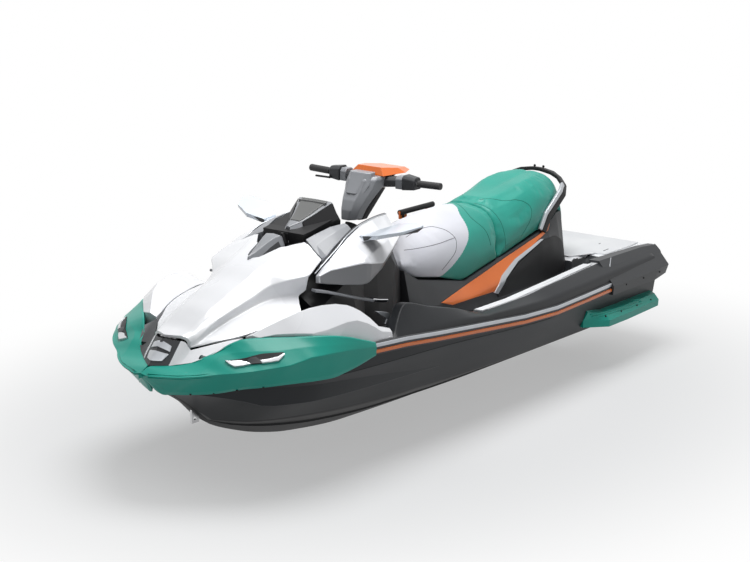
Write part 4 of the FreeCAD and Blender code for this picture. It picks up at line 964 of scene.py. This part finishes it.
def makeCowl():
    rings = []
    for x, wide, z in cowlLook["plate"]:
        low = z - cowlLook["plateThick"]
        rings.append(around(x, [(0, low + 2), (wide - 2, low), (wide, z), (0.82 * wide, z + 3),
                                (0, z + 5)]))
    plate = facets("cowlShell", rings, 2, mirror=False)
    dress(plate, "greyPlastic", "hull", ["cowl"])
    rings = []
    for x, wide, z in cowlLook["plate"][:-1]:
        x, wide = x + 8, wide * cowlLook["inlayShare"]
        rings.append(around(x, [(0, z - 4), (wide, z - 4), (wide - 2, z + 4.5), (0, z + 6)]))
    dress(facets("cowlInlay", rings, 1.5, mirror=False), "smokedPlastic", "hull")
    rings = []
    tip, floor = cowlLook["plate"][-1][0], cowlLook["bodyFloor"]
    for x, footY, footZ in cowlLook["foot"]:
        wide = max(cowlWide(min(x, tip)) - 4, 6)
        top = cowlTop(min(x, tip)) - (8 if x <= tip else 22)
        rings.append(around(x, [(0, floor), (footY - 6, floor), (footY - 3, footZ - 6),
                                (wide, top), (0, top)]))
    # Painted shade: the body under the plate is black so that the hollow under the plate reads dark
    dress(facets("cowlBody", rings, 2, mirror=False), "blackPlastic", "hull")
    dress(slab("cowlCheeks", cowlLook["cheek"], 12, 2.5), "greyPlastic", "hull")
    # Painted shadow: black sheets in the shaded recess between the plate's edge and the wings below
    dress(slab("cowlPaintedShadows", cowlLook["paintedShadow"], 8, 1.5), "blackPlastic", "hull")
    neck = block("cowlNeck", *cowlLook["neck"])
    bevelEdges(neck, 3)
    dress(neck, "blackPlastic", "hull")


# Vent in the hood's recess: x, half width, lower edge, top half width, top
ventLook = {
    "inset": [(2832, 30, 938), (2772, 40, 975), (2722, 46, 996), (2716, 57, 966), (2770, 48, 938)],
    "sections": fromBow([
        (700, 4, 915, 3, 944),
        (728, 22, 915, 9, 956),
        (765, 36, 915, 16, 974),
        (806, 48, 925, 24, 996),
        (850, 56, 935, 34, 1014),
        (876, 62, 945, 42, 1020),
        (892, 56, 950, 40, 1012)]),
}


def makeVent():
    rings = []
    for x, wide, low, top, high in ventLook["sections"]:
        rings.append(around(x, [(0, low), (wide, low), (wide * 0.98, (low + high) / 2 - 8),
                                (top, high), (0, high + 4)]))
    vent = facets("ventShell", rings, 3, mirror=False)
    dress(vent, "greyPlastic", "hull", ["hood_vent"])
    dress(patch("ventInsets", vent, ventLook["inset"], 3), "charcoalPlastic", "hull")


# Shoulders between cowl and fairings: x, inner edge, crease, outer edge
wingLook = {
    "sections": fromBow([
        (911, (231, 953), (246, 949), (258, 937)),
        (948, (132, 1002), (196, 984), (256, 941)),
        (990, (143, 1017), (200, 1001), (252, 966)),
        (1080, (163, 1041), (205, 1026), (238, 998)),
        (1172, (178, 1046), (198, 1039), (216, 1024))]),
    "deep": (60, 50),  # inner and outer side
}


def makeWings():
    rings = []
    inDeep, outDeep = wingLook["deep"]
    for x, inner, crease, outer in wingLook["sections"]:
        rings.append([(x, y, z) for y, z in ((inner[0] - 4, inner[1] - inDeep),
                                             (outer[0], outer[1] - outDeep), outer, crease, inner)])
    wings = facets("wingShells", rings, 3)
    dress(wings, "greyPlastic", "hull", ["cowl_wings"])


# Seats: x, top of the base, half width below, widest corner, shoulder, roll, crown
seatLook = {
    "voxel": 0.008, "pressure": 4.0, "frames": 20, "cap": 10, "shrink": 5, "fill": 0.85,
    "held": 12,  # the cloth is fixed up to here above the base
    "soft": [0, 12, 60, 46, 40, 0], "crown": [0, 0, 2, 4, 2, 0],
    "front": [
        (1202, 652, 206, (214, 780), (178, 880), (112, 922), 938),
        (1254, 646, 207, (216, 770), (180, 874), (112, 914), 936),
        (1330, 630, 207, (217, 760), (182, 868), (112, 908), 938),
        (1398, 616, 207, (217, 750), (182, 864), (112, 906), 944),
        (1495, 598, 206, (216, 740), (182, 858), (110, 902), 944),
        (1600, 622, 206, (216, 738), (182, 852), (108, 896), 932),
        (1679, 645, 206, (216, 740), (182, 846), (106, 888), 918),
        (1800, 668, 203, (214, 746), (178, 832), (102, 868), 888),
        (1874, 684, 200, (212, 752), (174, 816), (98, 850), 864),
        (1940, 716, 192, (204, 770), (160, 796), (92, 820), 832),
        (1976, 744, 182, (186, 776), (146, 782), (84, 794), 800)],
    "rear": [
        (578, 800, 172, (178, 850), (150, 950), (90, 996), 1002),
        (620, 800, 180, (190, 870), (160, 966), (96, 1006), 1008),
        (700, 772, 192, (206, 890), (176, 972), (120, 1004), 996),
        (766, 744, 200, (214, 890), (184, 968), (130, 1002), 984),
        (873, 726, 204, (218, 870), (190, 950), (138, 988), 968),
        (960, 706, 205, (218, 850), (188, 926), (136, 962), 954),
        (1053, 686, 206, (218, 830), (184, 902), (130, 942), 944),
        (1120, 670, 206, (217, 810), (180, 894), (120, 934), 942),
        (1197, 653, 206, (214, 780), (176, 884), (112, 926), 940)],
    "back": [
        (542, 650, 178, (182, 790), (128, 926), (70, 966), 972),
        (574, 640, 186, (188, 815), (140, 945), (80, 990), 996)],
    # Side view line of (z, x) behind which the front seat is teal
    "tealFrom": [(560, 1860), (653, 1691), (686, 1619), (725, 1553), (752, 1511), (777, 1477),
                 (798, 1453), (820, 1435), (843, 1423), (866, 1414), (890, 1404), (907, 1392),
                 (920, 1370), (932, 1335), (940, 1280), (946, 1200)],
}


def swell(piece, hold):
    # Cloth blown up by the pressure of its filling. Points that hold(place) names stay
    look = seatLook
    modify(piece, "REMESH", mode="VOXEL", voxel_size=look["voxel"])
    mesh = piece.data
    start = [vertex.co.copy() for vertex in mesh.vertices]
    zero = at(0, 0, 0)
    held = piece.vertex_groups.new(name="held")
    held.add([v.index for v in mesh.vertices if hold((v.co - zero) * 1000)], 1, "REPLACE")
    choose(piece)
    bpy.ops.object.modifier_add(type="CLOTH")
    cloth = piece.modifiers[-1]
    cloth.settings.use_pressure = True
    cloth.settings.uniform_pressure_force = look["pressure"]
    cloth.settings.vertex_group_mass = "held"
    cloth.settings.effector_weights.gravity = 0
    cloth.settings.quality = 4
    cloth.point_cache.frame_start = 1
    cloth.point_cache.frame_end = look["frames"]
    for step in range(1, look["frames"] + 1):
        bpy.context.scene.frame_set(step)
    bpy.ops.object.modifier_apply(modifier=cloth.name)
    bpy.context.scene.frame_set(1)
    most = look["cap"] / 1000
    for vertex, before in zip(mesh.vertices, start):
        move = vertex.co - before
        if move.length > most:
            vertex.co = before + move * (most / move.length)
    piece.vertex_groups.clear()
    modify(piece, "SMOOTH", factor=0.5, iterations=6)
    modify(piece, "SUBSURF", levels=1, render_levels=1)


def makeSeat(name, sections, look, node):
    rows = []
    small = seatLook["shrink"]
    for x, base, low, side, shoulder, roll, crown in sections:
        rows.append((x, (0, base + 2), (low - small, base + 2), (side[0] - small, side[1]),
                     (shoulder[0] - small, shoulder[1] - small), (roll[0], roll[1] - small),
                     (0, crown - small)))
    seat = loft(name, rows, seatLook["soft"], seatLook["crown"], steps=3, edge=4, edgeAngle=50)
    baseZ = smoothLine(sorted((s[0], s[1]) for s in sections))
    swell(seat, lambda c: c.z < baseZ(c.x) + seatLook["held"])
    shade(seat, 60)
    return dress(seat, look, "hull", [node] if node else [])


# Seams of the front seat, its teal edge, and the teal rear seat, as places in millimetres
seamLook = {
    "front": [
        [(1838, 103, 903), (1768, 101, 910), (1660, 112, 915), (1615, 140, 905), (1574, 171, 880),
         (1540, 193, 828), (1552, 199, 790), (1575, 204, 754), (1638, 208, 721), (1687, 206, 689)],
        [(1916, 158, 850), (1869, 178, 840), (1789, 188, 829), (1684, 192, 823), (1601, 192, 828),
         (1545, 192, 830)]],
    "edge": [(1291, 0, 940), (1350, 132, 920), (1331, 181, 877), (1289, 200, 810),
             (1280, 210, 740)],
    "rear": [
        [(1190, 40, 942), (1180, 123, 930), (1166, 180, 885), (1152, 205, 820), (1143, 208, 700)],
        [(1156, 50, 944), (1062, 140, 950), (976, 182, 940), (915, 200, 900), (900, 212, 860),
         (936, 212, 800), (1005, 210, 740)]],
}


def isTeal(place):
    line = seatLook["tealFrom"]
    return any(z0 <= place.z <= z1 and place.x < x0 + (x1 - x0) * (place.z - z0) / (z1 - z0)
               for (z0, x0), (z1, x1) in zip(line, line[1:]))


def makeSeats():
    front = makeSeat("frontSeatPad", seatLook["front"], "whiteVinyl", "front_seat")
    rear = makeSeat("rearSeatPad", seatLook["rear"], "tealVinyl", "rear_seat")
    makeSeat("rearSeatBack", seatLook["back"], "tealVinyl", None)
    splitSide(front, seatLook["tealFrom"])
    secondFinish(front, "tealVinyl", lambda c, n: isTeal(c))
    for i, line in enumerate(seamLook["front"]):
        dress(seam("frontSeam%d" % i, front, line, 1.4), "seamThread", "hull")
    dress(seam("edgeSeam", front, seamLook["edge"], 1.3), "tealSeam", "hull")
    for i, line in enumerate(seamLook["rear"]):
        dress(seam("rearSeam%d" % i, rear, line, 1.3), "tealSeam", "hull")


# Trims on the flank, the rail behind the seat, the rack and the bar below the fairing
trimLook = {
    "orange": [(1747, 248, 540), (1623, 246, 566), (1500, 240, 590), (1194, 236, 656),
               (1000, 236, 700), (846, 232, 732), (720, 224, 768), (757, 228, 735),
               (937, 240, 681), (1091, 250, 641), (1232, 262, 580), (1314, 269, 515),
               (1665, 256, 514)],
    "panel": [(1292, 268, 500), (1226, 266, 553), (1096, 256, 615), (998, 252, 648),
              (900, 248, 682), (831, 240, 700), (691, 232, 694), (610, 226, 650),
              (590, 228, 600), (600, 236, 520), (640, 240, 490), (900, 256, 478),
              (1280, 268, 476)],
    "strip": [(1322, 269, 510), (1240, 258, 582), (1098, 246, 645), (945, 244, 684),
              (862, 240, 705), (838, 238, 694), (930, 244, 668), (1085, 252, 627),
              (1215, 264, 560), (1290, 269, 498)],
    "rail": [(806, 216, 728), (754, 216, 806), (680, 214, 856), (602, 206, 902),
             (566, 184, 938), (550, 144, 970), (546, 96, 992), (545, 30, 1003), (545, 0, 1004)],
    "railTilt": [0.6, 0.6, 0.6, 0.6, 0.4, 0.4, 0.15, 0.15, 0.15],
    "railKnobs": [(545, 40, 1020), (548, -14, 1020)],
    "bar": [(2786, 306, 820), (2720, 320, 803), (2620, 338, 772), (2520, 352, 738),
            (2440, 364, 714)],
    "bracket": [(2440, 362, 716), (2400, 372, 706), (2352, 380, 698)],
    "plate": [(2527, 452, 695), (2440, 452, 672), (2348, 452, 624), (2453, 452, 618),
              (2440, 452, 640)],
    "rackPlates": [((794, -522, 748), (856, -508, 790)), ((1034, -522, 748), (1096, -508, 790))],
    # Width and thickness of the bars, their direction, and the strip's place on the rail
    "railSize": (42, 20), "stripSize": (26, 16), "barSize": (34, 12), "bracketSize": (26, 16),
    "stripAway": (30, 2, 18), "stripEnd": (18, 0, 10), "out": (0.3, 1, 0), "plateThick": 8,
}


def makeTrims():
    look = trimLook
    base = bpy.data.objects["seat_baseShell"]
    dress(patch("orangeTrims", base, look["orange"], 14, 3), "orangeGloss", "hull",
          ["orange_trim"])
    dress(patch("flankPanels", base, look["panel"], 16, 3), "blackGelcoat", "hull",
          ["rear_side_panels"])
    dress(patch("flankStrips", base, look["strip"], 24, 2), "silverPaint", "hull")
    half = look["rail"]
    full = half + [(x, -y, z) for x, y, z in reversed(half[:-1])]
    outs = [(1, 0, tilt) for tilt in look["railTilt"]]
    outs += list(reversed(outs[:-1]))
    dress(sweep("railShell", full, *look["railSize"], outs, 6), "blackPlastic", "hull",
          ["grab_rail"])
    face = [tuple(a + b for a, b in zip(spot, look["stripAway"])) for spot in half[:5]]
    face[4] = tuple(a - b for a, b in zip(face[4], look["stripEnd"]))
    dress(mirrorCopy(sweep("railStrip", face, *look["stripSize"], (1, 0, 0.6), 4)),
          "silverPaint", "hull")
    dress(rivets("railKnobs", look["railKnobs"], 7, False), "blackPlastic", "hull")
    bar = sweep("ledgeBar", look["bar"], *look["barSize"], look["out"], 3)
    dress(mirrorCopy(bar), "greyPlastic", "hull")
    bracket = sweep("ledgeBracket", look["bracket"], *look["bracketSize"], look["out"], 3)
    dress(mirrorCopy(bracket), "chromeTrim", "hull")
    rim = look["plate"]
    back = [(x, y - look["plateThick"], z) for x, y, z in rim]
    dress(facets("footPlates", [back, rim], 1.5), "silverPaint", "hull")
    for i, (low, high) in enumerate(look["rackPlates"]):
        plate = block("rackPlate%d" % i, low, high)
        bevelEdges(plate, 4)
        dress(plate, "orangeGloss", "hull")


# Nose: two silver blades over the dark grille, and the pale strip beside it to starboard
noseLook = {
    "blades": [[(3442, -60, 668), (3436, 0, 676), (3442, 60, 668), (3460, 66, 650),
                (3462, 0, 656), (3460, -66, 650)],
               [(3468, -66, 640), (3474, 0, 640), (3468, 66, 640), (3494, 50, 612),
                (3506, 0, 602), (3494, -50, 612)]],
    "strip": [(3390, -80, 676), (3384, -90, 674), (3457, -92, 592), (3467, -80, 590)],
}


def makeNose():
    grille = bpy.data.objects["nose_grilleShell"]
    for i, rim in enumerate(noseLook["blades"]):
        dress(patch("grilleBlade%d" % i, grille, rim, 9, 1.5, False), "silverPaint", "hull")
    panels = bpy.data.objects["nose_panelsShell"]
    secondFinish(panels, "charcoalPlastic", lambda c, n: c.y < 0)
    dress(patch("grilleStrip", panels, noseLook["strip"], 6, 1, False), "whiteGelcoat", "hull")


# Handlebar cover and the boxes along the bars. Each level of the cover is its height, then its
# front, side and rear as (x, half width). Each box is y from and to, then (x0, x1, z0, z1) at both
steeringLook = {
    "mast": [
        (998, (2190, 20), (2162, 44), (2112, 46)), (1045, (2181, 28), (2146, 56), (2092, 58)),
        (1090, (2160, 36), (2120, 68), (2058, 72)), (1140, (2124, 44), (2082, 82), (2010, 90)),
        (1180, (2104, 46), (2060, 88), (1950, 100)), (1195, (2090, 42), (2040, 84), (1890, 96))],
    "head": [(1120, (2146, 24), (2120, 58), (2070, 62)), (1160, (2116, 34), (2094, 72), (2050, 72)),
             (1214, (2083, 42), (2068, 64), (2026, 58))],
    "core": [(990, (2120, 30), (2100, 40), (2070, 40)), (1130, (2020, 60), (2000, 70), (1960, 70))],
    "covers": (84, 150, (1930, 2006, 1140, 1190), (1940, 1992, 1146, 1190)),
    "collars": (152, 190, (1934, 1996, 1138, 1200), (1934, 1994, 1138, 1200)),
    "boxes": (193, 262, (1930, 1998, 1136, 1208), (1936, 1990, 1142, 1200)),
    "corners": (14, 10),  # cut off at the front and the rear top edge
}


def levelRings(levels):
    rings = []
    for z, front, side, rear in levels:
        half = [front, side, rear]
        rings.append([(x, y, z) for x, y in half] + [(x, -y, z) for x, y in reversed(half)])
    return rings


def barBoxes(name, spec):
    near, far, first, last = spec
    front, rear = steeringLook["corners"]
    rings = []
    for y, (x0, x1, z0, z1) in ((near, first), (far, last)):
        rings.append([(x0, y, z0), (x1, y, z0), (x1, y, z1 - front), (x1 - front, y, z1),
                      (x0 + rear, y, z1), (x0, y, z1 - rear)])
    return facets(name, rings, 4)


def makeSteering():
    look = steeringLook
    dress(facets("mastShell", levelRings(look["mast"]), 5, mirror=False), "greyPlastic",
          "steering", ["handlebar_mast"])
    dress(facets("mastHead", levelRings(look["head"]), 4, mirror=False), "greyPlastic", "steering")
    dress(facets("mastCore", levelRings(look["core"]), 3, mirror=False), "blackPlastic", "steering")
    dress(barBoxes("barCovers", look["covers"]), "charcoalPlastic", "steering")
    dress(barBoxes("barCollars", look["collars"]), "greyPlastic", "steering")
    dress(barBoxes("switchBoxes", look["boxes"]), "charcoalPlastic", "steering",
          ["switch_housings"])


# Stern: bolts, the corners' front seam, ribs along the sponsons and grooves in the deck pad
sternLook = {
    "bolts": [(500, 551, 436), (313, 546, 435), (128, 537, 431), (713, 560, 306),
              (555, 558, 300), (380, 549, 296), (218, 540, 292)],
    "seam": [(515, 462, 571), (560, 484, 548), (592, 503, 520), (638, 530, 477)],
    "ribs": [[(824, 546, 331), (500, 556, 322), (170, 538, 316)],
             [(812, 553, 318), (500, 563, 309), (165, 545, 303)]],
    "grooves": [[(560, -300, 553), (60, -300, 553)], [(560, 0, 553), (300, 0, 553)],
                [(200, 190, 553), (60, 190, 553)], [(330, 300, 553), (60, 300, 553)]],
}


def makeStern():
    corners = bpy.data.objects["stern_cornersShell"]
    dress(rivets("sternBolts", sternLook["bolts"], 6), "blackPlastic", "hull")
    dress(seam("sternSeams", corners, sternLook["seam"], 2.5), "silverPaint", "hull")
    sponsons = bpy.data.objects["sponsonsShell"]
    for i, line in enumerate(sternLook["ribs"]):
        dress(seam("sponsonRib%d" % i, sponsons, line, 4), "tealPlastic", "hull")
    pad = bpy.data.objects["rear_deck_padShell"]
    for i, line in enumerate(sternLook["grooves"]):
        dress(seam("padGroove%d" % i, pad, line, 2.2, mirror=False), "railRubber", "hull")


# Pieces whose solids have the right shape: their edges are rounded. Node: finish, slot, edge,
# smallest angle to round, body
refined = {
    "nose_grille": ("charcoalPlastic", "charcoal_plastic", 2, 25, "hull"),
    "console": ("blackPlastic", "black_plastic", 6, 12, "hull"),
    "seat_base": ("charcoalPlastic", "charcoal_plastic", 5, 14, "hull"),
    "mirrors": ("paleShell", "pale_shell", 3, 12, "hull"),
    "nose_panels": ("whiteGelcoat", "white_gloss", 2, 25, "hull"),
    "stern_corners": ("charcoalPlastic", "charcoal_plastic", 6, 14, "hull"),
    "sponsons": ("tealPlastic", "teal_plastic", 5, 14, "hull"),
    "handlebar_pad": ("orangeGloss", "orange_pad", 8, 14, "steering"),
    "grips": ("blackRubber", "black_rubber", 3, 40, "steering"),
    "boarding_step": ("blackPlastic", "black_plastic", 1.5, 40, "step"),
    "ride_plate": ("castAluminium", "aluminium", 3, 25, "hull"),
    "pump_housing": ("castAluminium", "aluminium", 1, 40, "hull"),
    "reverse_bucket": ("castAluminium", "aluminium", 1.5, 40, "bucket"),
    "rear_deck_pad": ("whiteMat", "white_mat", 2, 40, "hull"),
}


def refineNodes():
    for node, settings in refined.items():
        refine(node, *settings)
    mirrors = bpy.data.objects["mirrorsShell"]
    secondFinish(mirrors, "charcoalPlastic", lambda c, n: n.z < -0.3)


# The rest keep the solid and get a finish
nodeFinishes = {
    "engine_block": "castBlock", "footwell_mats": "whiteMat", "rub_rail": "railRubber",
    "orange_stripe": "orangeGloss", "silver_stripe": "silverPaint", "display": "displayGlass",
    "cowl_base": "blackPlastic", "storage_tub": "blackPlastic", "hood_hinge": "stainless",
    "board_rack": "blackPlastic", "intake_grate": "castAluminium",
    "steering_nozzle": "castAluminium", "impeller": "stainless", "drive_shaft": "stainless",
    "step_brackets": "stainless", "steering_neck": "blackPlastic", "handlebar": "stainless",
    "throttle_lever": "blackPlastic", "bow_eye": "stainless", "stern_eyes": "stainless",
}


def dressNodes():
    for node, look in nodeFinishes.items():
        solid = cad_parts[node]
        solid.data.materials.clear()
        solid.data.materials.append(finish(look))


# Studio floor, which turns to plain white away from the craft wherever it is seen
floorLook = {"size": 60, "drop": 2, "colour": (0.60, 0.61, 0.62), "rough": 0.9, "shine": 0.1,
             "stretch": (1, 1.25, 0), "fadeFrom": 1.2, "fadeTo": 3.2, "least": 0.42}


def makeFloor():
    look = floorLook
    deselectAll()
    bpy.ops.mesh.primitive_plane_add(size=look["size"], location=at(bow / 2, 0, -look["drop"]))
    floor = bpy.context.object
    floor.name = "floor"
    bpy.ops.object.transform_apply(location=True, rotation=True, scale=True)
    material = bpy.data.materials.new("paleFloor")
    material.use_nodes = True
    tree = material.node_tree
    shader = tree.nodes["Principled BSDF"]
    shader.inputs["Base Color"].default_value = (*look["colour"], 1)
    shader.inputs["Roughness"].default_value = look["rough"]
    shader.inputs["Specular IOR Level"].default_value = look["shine"]
    white = addNode(tree, "Emission", {"Strength": 1.0})
    mix = addNode(tree, "MixShader")
    place = addNode(tree, "TexCoord")
    squeeze = addNode(tree, "Mapping", {"Scale": look["stretch"]})
    reach = addNode(tree, "VectorMath")
    reach.operation = "LENGTH"
    fade = addNode(tree, "MapRange", {"From Min": look["fadeFrom"], "From Max": look["fadeTo"],
                                      "To Min": look["least"]})
    fade.interpolation_type = "SMOOTHSTEP"
    link(tree, place, "Object", squeeze, "Vector")
    tree.links.new(squeeze.outputs["Vector"], reach.inputs[0])
    link(tree, reach, "Value", fade, "Value")
    share = combine(tree, "MULTIPLY", seenShare(tree), fade.outputs["Result"])
    tree.links.new(share, mix.inputs["Fac"])
    tree.links.new(shader.outputs["BSDF"], mix.inputs[1])
    tree.links.new(white.outputs["Emission"], mix.inputs[2])
    link(tree, mix, "Shader", tree.nodes["Material Output"], "Surface")
    floor.data.materials.append(material)


for step in (makeHull, makeDeck, makeBumper, dressBumper, makeSideDecks, makeHood, makeFairings,
             makeCowl, makeVent, makeWings, makeSeats, refineNodes, makeTrims, makeNose,
             makeSteering, makeStern, dressNodes, addCamera, addLamps, setWorld, makeFloor):
    step()
    print(step.__name__, "done")
bpy.context.scene.view_settings.view_transform = "Standard"
